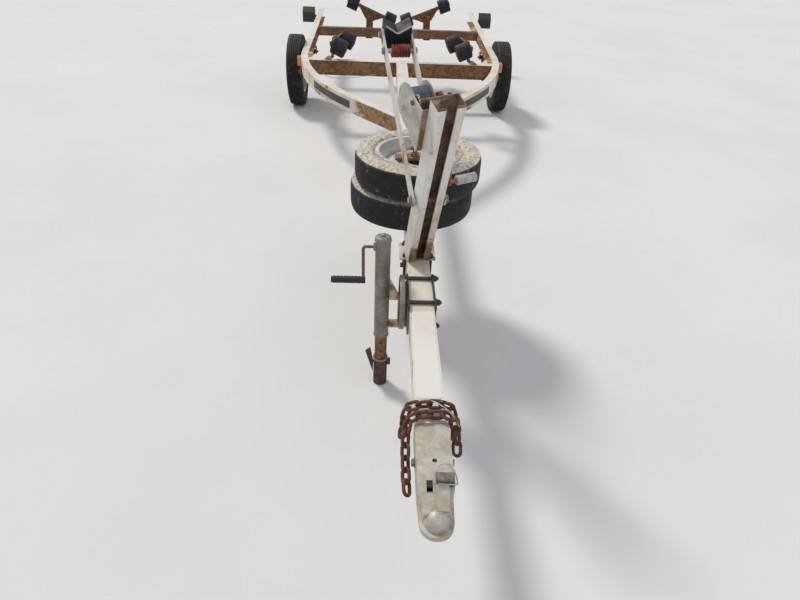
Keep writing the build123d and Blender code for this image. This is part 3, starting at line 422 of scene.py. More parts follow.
@dataclass(frozen=True)
class BareSteel:
    """Rusty or plated steel without paint."""

    name: str
    base: Colour
    second: Colour
    rust: Colour
    rusting: float
    metallic: float
    roughness: float
    scale: float = 14.0
    dust: float = 0.0
    dust_colour: Colour = srgb(176, 160, 134)
    changes: tuple[tuple[Region, Colour, Colour], ...] = ()

    def build(self) -> bpy.types.Material:
        """Makes the material.

        Returns:
            The new material.
        """
        material, shader, surface, place = new_material(self.name)
        tone = shader.noise(place, self.scale * 1.6, 8.0, 0.65)
        base = shader.blend(shader.ramp(tone, 0.36, 0.66), self.base, self.second)
        for region, first, last in self.changes:
            other = shader.blend(shader.ramp(tone, 0.36, 0.66), first, last)
            base = shader.blend(region.mask(shader, place), base, other)
        patches = shader.group("Patches", {"Vector": place, "Scale": self.scale, "Amount": self.rusting,
                                           "Softness": 0.06})
        mask = patches.outputs["Mask"]
        flecks = shader.noise(place, self.scale * 9, 6.0, 0.7)
        rust = shader.blend(shader.ramp(flecks, 0.4, 0.62), self.rust, self.second)
        colour = shader.blend(mask, base, rust)
        if self.dust:
            dust = shader.group("Settled dust", {"Vector": place, "Scale": 22.0, "Amount": self.dust})
            colour = shader.blend(dust.outputs["Mask"], colour, self.dust_colour)
        roughness = shader.ramp(shader.maths("ADD", mask, shader.maths("MULTIPLY", tone, 0.3)), 0.0, 1.2,
                                self.roughness, min(0.95, self.roughness + 0.4))
        grain = shader.group("Surface grain", {"Vector": place, "Scale": 190.0})
        height = shader.maths("ADD", grain.outputs["Height"], shader.maths("MULTIPLY", mask, flecks))
        finish_surface(shader, surface, colour, roughness, height, 0.45, 0.0006)
        shine = shader.ramp(mask, 0.0, 0.8, self.metallic, 0.0)
        shader.tree.links.new(shine, surface.inputs["Metallic"])
        return material


@dataclass(frozen=True)
class OldRubber:
    """Rubber with dust in its texture, and more of it on what looks up."""

    name: str
    rubber: Colour
    dusty: Colour
    dust: float
    worn: float
    roughness: float = 0.72
    dusty_places: tuple[Region, ...] = ()
    dust_scale: float = 34.0

    def build(self) -> bpy.types.Material:
        """Makes the material.

        Returns:
            The new material.
        """
        material, shader, surface, place = new_material(self.name)
        tone = shader.noise(place, 24.0, 8.0, 0.7)
        scuffs = shader.group("Patches", {"Vector": place, "Scale": 30.0, "Amount": self.worn, "Softness": 0.09})
        colour = shader.blend(shader.maths("MULTIPLY", scuffs.outputs["Mask"], 0.5), self.rubber, self.dusty)
        dust = shader.group("Settled dust", {"Vector": place, "Scale": self.dust_scale, "Amount": self.dust})
        settled = dust.outputs["Mask"]
        if self.dusty_places:
            open_faces = 0.0
            for region in self.dusty_places:
                open_faces = shader.maths("MAXIMUM", open_faces, region.mask(shader, place))
            settled = shader.maths("MULTIPLY", settled, open_faces)
        colour = shader.blend(settled, colour, self.dusty)
        roughness = shader.ramp(tone, 0.3, 0.7, self.roughness - 0.12, self.roughness + 0.12)
        grain = shader.group("Surface grain", {"Vector": place, "Scale": 260.0})
        finish_surface(shader, surface, colour, roughness, grain.outputs["Height"], 0.4, 0.0006)
        surface.inputs["Specular IOR Level"].default_value = 0.22
        return material


@dataclass(frozen=True)
class MouldedPlastic:
    """Moulded plastic, or a clear coloured lens, with a fine grain."""

    name: str
    colour: Colour
    faded: Colour
    roughness: float
    coat: float = 0.0

    def build(self) -> bpy.types.Material:
        """Makes the material.

        Returns:
            The new material.
        """
        material, shader, surface, place = new_material(self.name)
        tone = shader.noise(place, 30.0, 6.0, 0.65)
        colour = shader.blend(shader.ramp(tone, 0.38, 0.68), self.colour, self.faded)
        roughness = shader.ramp(tone, 0.3, 0.7, self.roughness, min(0.95, self.roughness + 0.2))
        grain = shader.group("Surface grain", {"Vector": place, "Scale": 420.0})
        finish_surface(shader, surface, colour, roughness, grain.outputs["Height"], 0.25, 0.0003)
        surface.inputs["Coat Weight"].default_value = self.coat
        return material


@dataclass(frozen=True)
class WovenStrap:
    """Webbing wound on the drum, its weave along and across the band."""

    name: str
    yarn: Colour
    shade: Colour
    thread: float

    def build(self) -> bpy.types.Material:
        """Makes the material.

        Returns:
            The new material.
        """
        material, shader, surface, place = new_material(self.name)
        local = shader.local(place, POST)
        across = shader.add("TexWave", {"Vector": local, "Scale": self.thread}, bands_direction="X")
        along = shader.add("TexWave", {"Vector": local, "Scale": self.thread * 0.6}, bands_direction="Z")
        weave = shader.maths("MULTIPLY", across.outputs["Fac"], along.outputs["Fac"])
        worn = shader.group("Patches", {"Vector": place, "Scale": 40.0, "Amount": 0.35, "Softness": 0.1})
        tone = shader.maths("ADD", shader.maths("MULTIPLY", weave, 0.5),
                            shader.maths("MULTIPLY", worn.outputs["Mask"], 0.4))
        colour = shader.blend(tone, self.yarn, self.shade)
        finish_surface(shader, surface, colour, 0.9, weave, 0.7, 0.0008)
        return material


WHITE = srgb(224, 219, 206)
WHITE_STAINED = srgb(202, 192, 168)
RUST = srgb(98, 64, 42)
PALE_RUST = srgb(156, 116, 78)
# Painted shade: near-black laid on the tongue under the coupler, so that its hole and slot look dark.
PAINTED_SHADE = srgb(34, 30, 28)
POST_INSIDE = Region((-36.6, -20.8, -260.0), (36.6, 21.6, 620.0), POST, (0.4, 0.4, 170.0))
POST_INSIDE_TOP = Region((-36.6, -20.8, 400.0), (36.6, 21.6, 760.0), POST, (0.4, 0.4, 60.0))
POST_LIP_FOOT = Region((-60.0, -60.0, -420.0), (60.0, -20.0, 300.0), POST, (0.4, 0.4, 300.0))
TONGUE_END = Region((-60.0, -2960.0, 300.0), (60.0, -2684.0, 480.0))
SPARE_TOP_LOWER = Region((-300.0, -1800.0, 562.0), (300.0, -1200.0, 590.0), None, (0.4, 0.4, 6.0))
SPARE_TOP_UPPER = Region((-300.0, -1800.0, 684.0), (300.0, -1200.0, 712.0), None, (0.4, 0.4, 6.0))
POST_RIM = Region((-60.0, -60.0, 645.0), (60.0, 60.0, 700.0), POST)
RAIL_FRONT = Region((-600.0, -900.0, 300.0), (600.0, -40.0, 456.0), None, (0.4, 90.0, 0.4))
RAIL_INSIDE_RIGHT = Region((640.0, 900.0, 360.0), (765.0, 3000.0, 456.0))
RAIL_INSIDE_LEFT = Region((-765.0, 900.0, 360.0), (-640.0, 3000.0, 456.0))
JACK_BRACE = Region((-90.0, -3000.0, 200.0), (-61.6, -1000.0, 520.0))
TONGUE_BARS = Region((-60.0, -2300.0, 458.0), (60.0, -1900.0, 600.0))
WINCH_RIGHT = Region((-55.9, -100.0, 300.0), (60.0, 400.0, 800.0), POST)


class Finish(Enum):
    """Every finish on the trailer."""

    # The tongue's end under the coupler carries painted shade.
    TONGUE = PaintedSteel("Tongue paint", WHITE, WHITE_STAINED, RUST, PALE_RUST, chips=0.16, side_rust=0.34,
                          shade_regions=(TONGUE_END,))
    RAIL = PaintedSteel("Rail paint", WHITE, WHITE_STAINED, srgb(116, 82, 54), srgb(176, 142, 100), chips=0.14,
                        side_rust=0.36, worn=(RAIL_FRONT, RAIL_INSIDE_RIGHT, RAIL_INSIDE_LEFT))
    MEMBER = PaintedSteel("Cross-member paint", WHITE, WHITE_STAINED, srgb(98, 68, 47), srgb(146, 110, 76), chips=0.22,
                          side_rust=0.97)
    POST = PaintedSteel("Post paint", srgb(220, 219, 212), WHITE_STAINED, srgb(102, 78, 62), srgb(150, 126, 104),
                        chips=0.15, side_rust=0.2, runs=0.4, gloss=0.42, bare=(POST_INSIDE, POST_RIM),
                        worn=(POST_LIP_FOOT, POST_INSIDE_TOP))
    ARM = PaintedSteel("Arm paint", srgb(210, 206, 194), WHITE_STAINED, srgb(84, 58, 42), srgb(132, 98, 70), chips=0.3,
                       side_rust=0.34, bare=(POST_INSIDE,))
    RIM = PaintedSteel("Rim paint", srgb(206, 208, 206), srgb(176, 174, 164), srgb(108, 76, 54), PALE_RUST, chips=0.28,
                       side_rust=0.24)
    PLATE = PaintedSteel("Blank plate", srgb(232, 229, 220), srgb(222, 216, 200), RUST, srgb(176, 148, 112), chips=0.02,
                         side_rust=0.05, runs=0.05, gloss=0.35)
    STRIP = PaintedSteel("Blank strip", srgb(46, 46, 48), srgb(74, 72, 68), srgb(130, 110, 84), srgb(120, 112, 98),
                         chips=0.1, side_rust=0.16, runs=0.1, gloss=0.5)
    STRIP_EDGE = PaintedSteel("Strip edge", srgb(206, 202, 190), srgb(172, 164, 146), RUST, PALE_RUST, chips=0.14,
                              side_rust=0.2, runs=0.1)
    RUSTY = BareSteel("Rusty steel", srgb(100, 68, 48), srgb(148, 110, 76), srgb(70, 48, 38), rusting=0.5, metallic=0.0,
                      roughness=0.82, dust=0.3)
    DARK = BareSteel("Dark rusty steel", srgb(62, 48, 40), srgb(92, 68, 50), srgb(42, 34, 32), rusting=0.45,
                     metallic=0.0, roughness=0.78)
    CHAIN = BareSteel("Chain rust", srgb(66, 42, 31), srgb(128, 84, 58), srgb(38, 28, 25), rusting=0.5, metallic=0.1,
                      roughness=0.7, scale=60.0)
    ZINC = BareSteel("Dull zinc", srgb(142, 142, 134), srgb(118, 114, 102), srgb(112, 88, 64), rusting=0.3,
                     metallic=0.35, roughness=0.5)
    JACK_ZINC = BareSteel("Jack zinc", srgb(136, 135, 122), srgb(112, 109, 95), srgb(110, 90, 66), rusting=0.26,
                          metallic=0.3, roughness=0.46, dust=0.2,
                          changes=((JACK_BRACE, srgb(212, 196, 168), srgb(120, 62, 46)),))
    MOUNT_ZINC = BareSteel("Mount zinc", srgb(132, 128, 116), srgb(106, 100, 88), srgb(104, 84, 62), rusting=0.3,
                           metallic=0.3, roughness=0.5, changes=((TONGUE_BARS, srgb(44, 42, 42), srgb(66, 60, 56)),))
    WINCH = BareSteel("Winch steel", srgb(194, 194, 184), srgb(160, 156, 144), srgb(118, 92, 68), rusting=0.28,
                      metallic=0.3, roughness=0.46, dust=0.2,
                      changes=((WINCH_RIGHT, srgb(116, 84, 60), srgb(158, 122, 88)),))
    COUPLER = BareSteel("Coupler zinc", srgb(192, 190, 180), srgb(168, 160, 142), srgb(146, 112, 80), rusting=0.28,
                        metallic=0.25, roughness=0.46, scale=18.0, dust=0.15)
    LATCH = BareSteel("Latch steel", srgb(132, 128, 120), srgb(98, 92, 86), srgb(108, 82, 60), rusting=0.32,
                      metallic=0.4, roughness=0.42, scale=26.0)
    BRIGHT = BareSteel("Bright steel", srgb(190, 192, 192), srgb(154, 154, 152), srgb(120, 92, 66), rusting=0.18,
                       metallic=0.7, roughness=0.34, scale=30.0)
    GEAR = BareSteel("Gear zinc", srgb(190, 190, 182), srgb(156, 154, 144), srgb(110, 84, 60), rusting=0.3,
                     metallic=0.45, roughness=0.46)
    ROAD_TYRE = OldRubber("Road tyre rubber", srgb(36, 35, 36), srgb(104, 98, 88), dust=0.4, worn=0.3)
    SPARE_TYRE = OldRubber("Spare tyre rubber", srgb(40, 38, 38), srgb(214, 205, 186), dust=1.25, worn=0.18,
                           dusty_places=(SPARE_TOP_LOWER, SPARE_TOP_UPPER), dust_scale=80.0)
    ROLLER = OldRubber("Roller rubber", srgb(36, 37, 42), srgb(88, 86, 84), dust=0.25, worn=0.3, roughness=0.6)
    BLOCK = OldRubber("Bow block rubber", srgb(28, 28, 32), srgb(80, 78, 76), dust=0.15, worn=0.2, roughness=0.6)
    # Pale rubber: the lamp lead's own colour, and on the bow block's V edge a painted highlight with some wear.
    BLOCK_EDGE = OldRubber("Worn block edge", srgb(176, 172, 166), srgb(206, 200, 190), dust=0.4, worn=0.4,
                           roughness=0.6)
    MAROON = OldRubber("Maroon rubber", srgb(112, 44, 40), srgb(160, 104, 92), dust=0.4, worn=0.4, roughness=0.62)
    BLACK = MouldedPlastic("Black plastic", srgb(28, 28, 30), srgb(56, 52, 48), roughness=0.5)
    GRIP = MouldedPlastic("Black grip", srgb(24, 24, 26), srgb(44, 42, 40), roughness=0.55)
    PALE_GRIP = BareSteel("Pale grip", srgb(182, 184, 186), srgb(150, 150, 148), srgb(120, 100, 80), rusting=0.15,
                          metallic=0.3, roughness=0.36, scale=24.0)
    RED_LENS = MouldedPlastic("Red lens", srgb(140, 26, 20), srgb(164, 52, 40), roughness=0.18, coat=0.6)
    AMBER_LENS = MouldedPlastic("Amber lens", srgb(206, 112, 74), srgb(222, 150, 116), roughness=0.24, coat=0.5)
    STRAP = WovenStrap("Strap webbing", srgb(74, 78, 92), srgb(124, 126, 138), thread=130.0)

    def material(self) -> bpy.types.Material:
        """The finish's material, made at its first use."""
        return bpy.data.materials.get(self.value.name) or self.value.build()


# Mesh making. Every outline is in millimetres, and every finished piece in metres in the row frame.

def new_object(name: str, mesh: bpy.types.Mesh) -> bpy.types.Object:
    """Puts a mesh in the scene, shaded smooth up to the angle of a sharp edge.

    Args:
        name: the object's name.
        mesh: its mesh.

    Returns:
        The new object, at the origin.
    """
    piece = bpy.data.objects.new(name, mesh)
    bpy.context.scene.collection.objects.link(piece)
    mesh.shade_smooth()
    mesh.set_sharp_from_angle(angle=SHARP_EDGE)
    return piece


def mesh_object(name: str, build: bmesh.types.BMesh, place: Matrix = IDENTITY) -> bpy.types.Object:
    """Turns a bmesh into an object.

    Args:
        name: the piece's name.
        build: its faces, in millimetres.
        place: where it goes, in millimetres.

    Returns:
        The new object, at the origin.
    """
    bmesh.ops.remove_doubles(build, verts=build.verts, dist=0.01)
    build.transform(Matrix.Scale(MM, 4) @ place)
    bmesh.ops.recalc_face_normals(build, faces=build.faces)
    mesh = bpy.data.meshes.new(name)
    build.to_mesh(mesh)
    build.free()
    return new_object(name, mesh)


def join(name: str, pieces: Sequence[bpy.types.Object]) -> bpy.types.Object:
    """Joins meshes into a new one.

    Args:
        name: the new object's name.
        pieces: the objects to join; they are removed.

    Returns:
        The new object, at the origin.
    """
    build = bmesh.new()
    for piece in pieces:
        build.from_mesh(piece.data)
    mesh = bpy.data.meshes.new(name)
    build.to_mesh(mesh)
    build.free()
    for piece in pieces:
        bpy.data.objects.remove(piece)
    return new_object(name, mesh)


def lathe(build: bmesh.types.BMesh, outline: Sequence[Flat], place: Matrix = IDENTITY, segments: int = 64,
          closed: bool = True) -> None:
    """Spins an outline of (radius, height) points about Z.

    Args:
        build: the faces are added to this.
        outline: the points, outside first.
        place: where the axis goes.
        segments: faces round the axis.
        closed: whether the last point joins the first.
    """
    rings = [[build.verts.new(place @ Vector((radius * cosine, radius * sine, height)))
              for radius, height in outline] for cosine, sine in around(segments)]
    last = len(outline) if closed else len(outline) - 1
    for here, following in zip(rings, rings[1:] + rings[:1]):
        for corner in range(last):
            after = (corner + 1) % len(outline)
            build.faces.new((here[corner], here[after], following[after], following[corner]))


def prism(build: bmesh.types.BMesh, outline: Sequence[Flat], low: float, high: float,
          place: Matrix = IDENTITY) -> None:
    """Adds an upright prism.

    Args:
        build: the faces are added to this.
        outline: its corners in the plane.
        low: height of its base.
        high: height of its top.
        place: where its plane goes.
    """
    lower = [build.verts.new(place @ Vector((x, y, low))) for x, y in outline]
    upper = [build.verts.new(place @ Vector((x, y, high))) for x, y in outline]
    build.faces.new(lower[::-1])
    build.faces.new(upper)
    for index in range(len(outline)):
        after = (index + 1) % len(outline)
        build.faces.new((lower[index], lower[after], upper[after], upper[index]))


def rounded_outline(width: float, length: float, radius: float, steps: int = 4) -> list[Flat]:
    """Corners of a rectangle with rounded corners, about the origin.

    Args:
        width: its size along X.
        length: its size along Y.
        radius: radius of its corners.
        steps: edges round each corner.

    Returns:
        The points, anticlockwise.
    """
    points = []
    for quarter, (x, y) in enumerate(((1, 1), (-1, 1), (-1, -1), (1, -1))):
        centre = (x * (width / 2 - radius), y * (length / 2 - radius))
        for step in range(steps + 1):
            angle = math.pi / 2 * (quarter + step / steps)
            points.append((centre[0] + radius * math.cos(angle), centre[1] + radius * math.sin(angle)))
    return points


def curve_points(corners: Sequence[Spot | Vector], steps: int = 8) -> list[Vector]:
    """Smooth run of points through corners.

    Args:
        corners: the points that the run goes through.
        steps: points between two corners.

    Returns:
        The run's points.
    """
    spots = [Vector(corner) for corner in corners]
    padded = [spots[0], *spots, spots[-1]]
    run = []
    for before, here, after, beyond in zip(padded, padded[1:], padded[2:], padded[3:]):
        for step in range(steps):
            share = step / steps
            squared = share * share
            cubed = squared * share
            run.append(0.5 * ((2 * here) + (after - before) * share + (2 * before - 5 * here + 4 * after - beyond)
                              * squared + (3 * here - before - 3 * after + beyond) * cubed))
    run.append(spots[-1])
    return run


def wire(build: bmesh.types.BMesh, run: Sequence[Vector], radius: float, sides: int = 10,
         closed: bool = False) -> None:
    """Adds a round wire along a run of points.

    Args:
        build: the faces are added to this.
        run: its middle line.
        radius: its radius.
        sides: faces round it.
        closed: whether it returns to its start.
    """
    count = len(run)
    side = Vector((0, 0, 1))
    rings = []
    for index, spot in enumerate(run):
        before = run[(index - 1) % count] if closed or index else run[0]
        after = run[(index + 1) % count] if closed or index + 1 < count else run[-1]
        along = (after - before).normalized()
        across = side - along * side.dot(along)
        if across.length < 0.1:
            across = Vector((1, 0, 0)) - along * along.x
        across.normalize()
        side = across
        third = along.cross(across)
        rings.append([build.verts.new(spot + across * (radius * cosine) + third * (radius * sine))
                      for cosine, sine in around(sides)])
    for index in range(count if closed else count - 1):
        here = rings[index]
        following = rings[(index + 1) % count]
        for step in range(sides):
            after = (step + 1) % sides
            build.faces.new((here[step], here[after], following[after], following[step]))
    if not closed:
        build.faces.new(rings[0][::-1])
        build.faces.new(rings[-1])


def add_piece(piece: bpy.types.Object, finish: Finish, body: str, slot: str, *nodes: str) -> None:
    """Dresses a piece and puts it on its body.

    Args:
        piece: the finished mesh.
        finish: its finish.
        body: the body that it rides on.
        slot: name of a material slot; not used.
        nodes: the nodes that it stands for, if any.
    """
    piece.data.materials.clear()
    piece.data.materials.append(finish.material())
    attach(piece, body)
    if nodes:
        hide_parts(*nodes)
    LOG.info("%s on %s: %d faces", piece.name, body, len(piece.data.polygons))


def dress_nodes(nodes: dict, finishes: dict) -> None:
    """Gives each named node its finish.

    Args:
        nodes: the frame's nodes by name.
        finishes: finish of each node.
    """
    for name, finish in finishes.items():
        node = nodes[name]
        if not node.material_slots:
            node.data.materials.append(finish.material())
        for slot in node.material_slots:
            slot.material = finish.material()
        LOG.info("%s: %s", name, finish.value.name)


# Geometry Nodes for what repeats.

class Repeats:
    """Geometry node trees that repeat a small item."""

    QUARTER = math.pi / 2

    def _start(self, name: str, *inputs: tuple[str, str, object]) -> tuple[bpy.types.NodeTree, bpy.types.Node]:
        """Starts a tree.

        Args:
            name: the tree's name.
            inputs: name, socket type and value of each input after the item and the material.

        Returns:
            The tree and its input node.
        """
        tree = bpy.data.node_groups.new(name, "GeometryNodeTree")
        tree.interface.new_socket(name="Geometry", in_out="INPUT", socket_type="NodeSocketGeometry")
        tree.interface.new_socket(name="Item", in_out="INPUT", socket_type="NodeSocketObject")
        tree.interface.new_socket(name="Material", in_out="INPUT", socket_type="NodeSocketMaterial")
        for label, kind, value in inputs:
            tree.interface.new_socket(name=label, in_out="INPUT", socket_type=kind).default_value = value
        tree.interface.new_socket(name="Geometry", in_out="OUTPUT", socket_type="NodeSocketGeometry")
        return tree, tree.nodes.new("NodeGroupInput")

    def _place(self, tree: bpy.types.NodeTree, entry: bpy.types.Node, points: bpy.types.NodeSocket,
               rotation: bpy.types.NodeSocket) -> None:
        """Sets the item on points, and ends the tree in Realize Instances and Set Material.

        Args:
            tree: the tree.
            entry: its input node.
            points: the points.
            rotation: the item's rotation on each.
        """
        nodes, links = tree.nodes, tree.links
        item = nodes.new("GeometryNodeObjectInfo")
        item.inputs["As Instance"].default_value = True
        place = nodes.new("GeometryNodeInstanceOnPoints")
        realize = nodes.new("GeometryNodeRealizeInstances")
        dress = nodes.new("GeometryNodeSetMaterial")
        leave = nodes.new("NodeGroupOutput")
        for source, target in ((entry.outputs["Item"], item.inputs["Object"]), (points, place.inputs["Points"]),
                               (item.outputs["Geometry"], place.inputs["Instance"]),
                               (rotation, place.inputs["Rotation"]), (place.outputs[0], realize.inputs[0]),
                               (realize.outputs[0], dress.inputs["Geometry"]),
                               (entry.outputs["Material"], dress.inputs["Material"]),
                               (dress.outputs[0], leave.inputs[0])):
            links.new(source, target)

    def on_points(self) -> bpy.types.NodeTree:
        """Tree that sets an item on each point, its Z along the point's facing.

        Returns:
            The tree.
        """
        tree, entry = self._start("Items on points")
        nodes, links = tree.nodes, tree.links
        facing = nodes.new("GeometryNodeInputNamedAttribute")
        facing.data_type = "FLOAT_VECTOR"
        facing.inputs["Name"].default_value = "facing"
        align = nodes.new("FunctionNodeAlignEulerToVector")
        align.axis = "Z"
        links.new(facing.outputs["Attribute"], align.inputs["Vector"])
        points = nodes.new("GeometryNodeMeshToPoints")
        links.new(entry.outputs["Geometry"], points.inputs["Mesh"])
        self._place(tree, entry, points.outputs[0], align.outputs[0])
        return tree

    def along_curve(self) -> bpy.types.NodeTree:
        """Tree that sets items along a curve, each turned from the last.

        Returns:
            The tree.
        """
        tree, entry = self._start("Items along a curve", ("Count", "NodeSocketInt", 10),
                                  ("First turn", "NodeSocketFloat", 0.0), ("Turn", "NodeSocketFloat", self.QUARTER))
        nodes, links = tree.nodes, tree.links
        points = nodes.new("GeometryNodeCurveToPoints")
        points.mode = "COUNT"
        links.new(entry.outputs["Geometry"], points.inputs["Curve"])
        links.new(entry.outputs["Count"], points.inputs["Count"])
        index = nodes.new("GeometryNodeInputIndex")
        angle = nodes.new("ShaderNodeMath")
        angle.operation = "MULTIPLY_ADD"
        links.new(index.outputs[0], angle.inputs[0])
        links.new(entry.outputs["Turn"], angle.inputs[1])
        links.new(entry.outputs["First turn"], angle.inputs[2])
        spin = nodes.new("FunctionNodeAxisAngleToRotation")
        spin.inputs["Axis"].default_value = UP
        links.new(angle.outputs[0], spin.inputs["Angle"])
        rotate = nodes.new("FunctionNodeRotateRotation")
        rotate.rotation_space = "LOCAL"
        links.new(points.outputs["Rotation"], rotate.inputs["Rotation"])
        links.new(spin.outputs[0], rotate.inputs["Rotate By"])
        self._place(tree, entry, points.outputs["Points"], rotate.outputs[0])
        return tree

    def build(self) -> None:
        """Makes both trees once."""
        self.points_tree = self.on_points()
        self.curve_tree = self.along_curve()

    def run(self, name: str, data: bpy.types.ID, tree: bpy.types.NodeTree, values: dict) -> bpy.types.Object:
        """Runs a tree on points or a curve and keeps the plain result.

        Args:
            name: the piece's name.
            data: the mesh or curve that the tree works on.
            tree: the tree.
            values: its inputs by name.

        Returns:
            A plain mesh object.
        """
        source = bpy.data.objects.new(data.name, data)
        bpy.context.scene.collection.objects.link(source)
        modifier = source.modifiers.new("Repeat", "NODES")
        modifier.node_group = tree
        for socket in tree.interface.items_tree:
            if socket.in_out == "INPUT" and socket.name in values:
                modifier[socket.identifier] = values[socket.name]
        bpy.context.view_layer.update()
        graph = bpy.context.evaluated_depsgraph_get()
        mesh = bpy.data.meshes.new_from_object(source.evaluated_get(graph))
        bpy.data.objects.remove(source)
        mesh.name = name
        return new_object(name, mesh)

    def set_items(self, name: str, item: bpy.types.Object, spots: Sequence[Placed],
                  finish: Finish) -> bpy.types.Object:
        """Sets an item on spots.

        Args:
            name: the piece's name.
            item: the small mesh in metres, its Z outward; it is removed.
            spots: place in millimetres and outward direction of each.
            finish: the piece's finish.

        Returns:
            A plain mesh object.
        """
        mesh = bpy.data.meshes.new(name + "_points")
        mesh.from_pydata([spot * MM for spot, _ in spots], [], [])
        facing = mesh.attributes.new("facing", "FLOAT_VECTOR", "POINT")
        for index, (_, outward) in enumerate(spots):
            facing.data[index].vector = outward
        piece = self.run(name, mesh, self.points_tree, {"Item": item, "Material": finish.material()})
        bpy.data.objects.remove(item)
        return piece

    def set_along(self, name: str, item: bpy.types.Object, run: Sequence[Vector], count: int, first: float,
                  finish: Finish) -> bpy.types.Object:
        """Sets an item along a run of points, each turned a quarter from the last.

        Args:
            name: the piece's name.
            item: the small mesh in metres, its Z along the run; it is kept for other calls.
            run: the points in millimetres.
            count: how many items.
            first: turn of the first in degrees.
            finish: the piece's finish.

        Returns:
            A plain mesh object.
        """
        curve = bpy.data.curves.new(name + "_line", "CURVE")
        curve.dimensions = "3D"
        spline = curve.splines.new("POLY")
        spline.points.add(len(run) - 1)
        for point, spot in zip(spline.points, run):
            point.co = (*(spot * MM), 1.0)
        return self.run(name, curve, self.curve_tree, {"Item": item, "Material": finish.material(), "Count": count,
                                                       "First turn": math.radians(first)})


REPEATS = Repeats()


def add_repeated(name: str, item: bpy.types.Object, spots: Sequence[Placed], finish: Finish, body: str,
                 slot: str) -> None:
    """Adds a piece that is an item on many spots.

    Args:
        name: the piece's name.
        item: the small mesh in metres, its Z outward; it is removed.
        spots: place in millimetres and outward direction of each.
        finish: the piece's finish.
        body: the body that it rides on.
        slot: name of a material slot; not used.
    """
    add_piece(REPEATS.set_items(name, item, spots, finish), finish, body, slot)


class Hardware:
    """Small items that the repeats place: bolt heads, nuts, teeth, lugs and links."""

    WASHER = 1.6
    CHAMFER_START = 0.8
    CHAMFER_SHARE = 0.86
    LUG_CORNER = 1.2
    LUG_ROOT = 1.0
    TOOTH_ROOT = 1.5

    def nut(self, name: str, radius: float, height: float, stem: float = 0.0, washer: float = 0.0) -> bpy.types.Object:
        """A hexagon nut or bolt head.

        Args:
            name: the item's name.
            radius: half its width over the corners.
            height: its height.
            stem: radius of the thread's end that stands out of it, if any.
            washer: radius of the washer under it, if any.

        Returns:
            The item.
        """
        build = bmesh.new()
        low = 0.0
        if washer:
            low = self.WASHER
            lathe(build, [(washer, 0.0), (washer, low), (washer * 0.4, low), (washer * 0.4, 0.0)], segments=24)
        corners = [(radius * cosine, radius * sine) for cosine, sine in around(6)]
        shoulder = low + height * self.CHAMFER_START
        prism(build, corners, low, shoulder)
        lower = [build.verts.new((x, y, shoulder)) for x, y in corners]
        upper = [build.verts.new((x * self.CHAMFER_SHARE, y * self.CHAMFER_SHARE, low + height)) for x, y in corners]
        for k in range(6):
            build.faces.new((lower[k], lower[(k + 1) % 6], upper[(k + 1) % 6], upper[k]))
        build.faces.new(upper)
        if stem:
            top = low + height + stem * 0.9
            outline = [(stem, low + height - 0.5), (stem, top - 1), (stem - 1, top), (0.01, top)]
            lathe(build, outline, segments=16, closed=False)
        return mesh_object(name, build)

    def tooth(self, name: str, root: float, tip: float, length: float, thick: float) -> bpy.types.Object:
        """A gear tooth that stands along Z from a base.

        Args:
            name: the item's name.
            root: its width at the root.
            tip: its width at the tip.
            length: its height over the root.
            thick: its size along the gear's shaft.

        Returns:
            The item.
        """
        build = bmesh.new()
        outline = [(-root / 2, -self.TOOTH_ROOT), (root / 2, -self.TOOTH_ROOT), (root / 2, 0), (tip / 2, length),
                   (-tip / 2, length), (-root / 2, 0)]
        prism(build, outline, -thick / 2, thick / 2, turn("X", 90))
        return mesh_object(name, build)

    def link(self, name: str, length: float, width: float, radius: float) -> bpy.types.Object:
        """An oval chain link in the XZ plane, its length along Z.

        Args:
            name: the item's name.
            length: its size from end to end.
            width: its size across.
            radius: radius of its wire.

        Returns:
            The item.
        """
        build = bmesh.new()
        straight = length / 2 - width / 2
        bend = width / 2 - radius
        run = []
        for start, rise in ((0, straight), (1, -straight)):
            for step in range(9):
                angle = math.pi * (start + step / 8)
                run.append(Vector((bend * math.cos(angle), 0, rise + bend * math.sin(angle))))
        wire(build, run, radius, sides=8, closed=True)
        return mesh_object(name, build)

    def lug(self, name: str, width: float, length: float, height: float) -> bpy.types.Object:
        """A tread block or rib that stands along Z.

        Args:
            name: the item's name.
            width: its size along X.
            length: its size along Y.
            height: how far it stands out.

        Returns:
            The item.
        """
        build = bmesh.new()
        outline = rounded_outline(width, length, self.LUG_CORNER, steps=1)
        prism(build, outline, -self.LUG_ROOT, height)
        return mesh_object(name, build)


# Sub-assemblies.

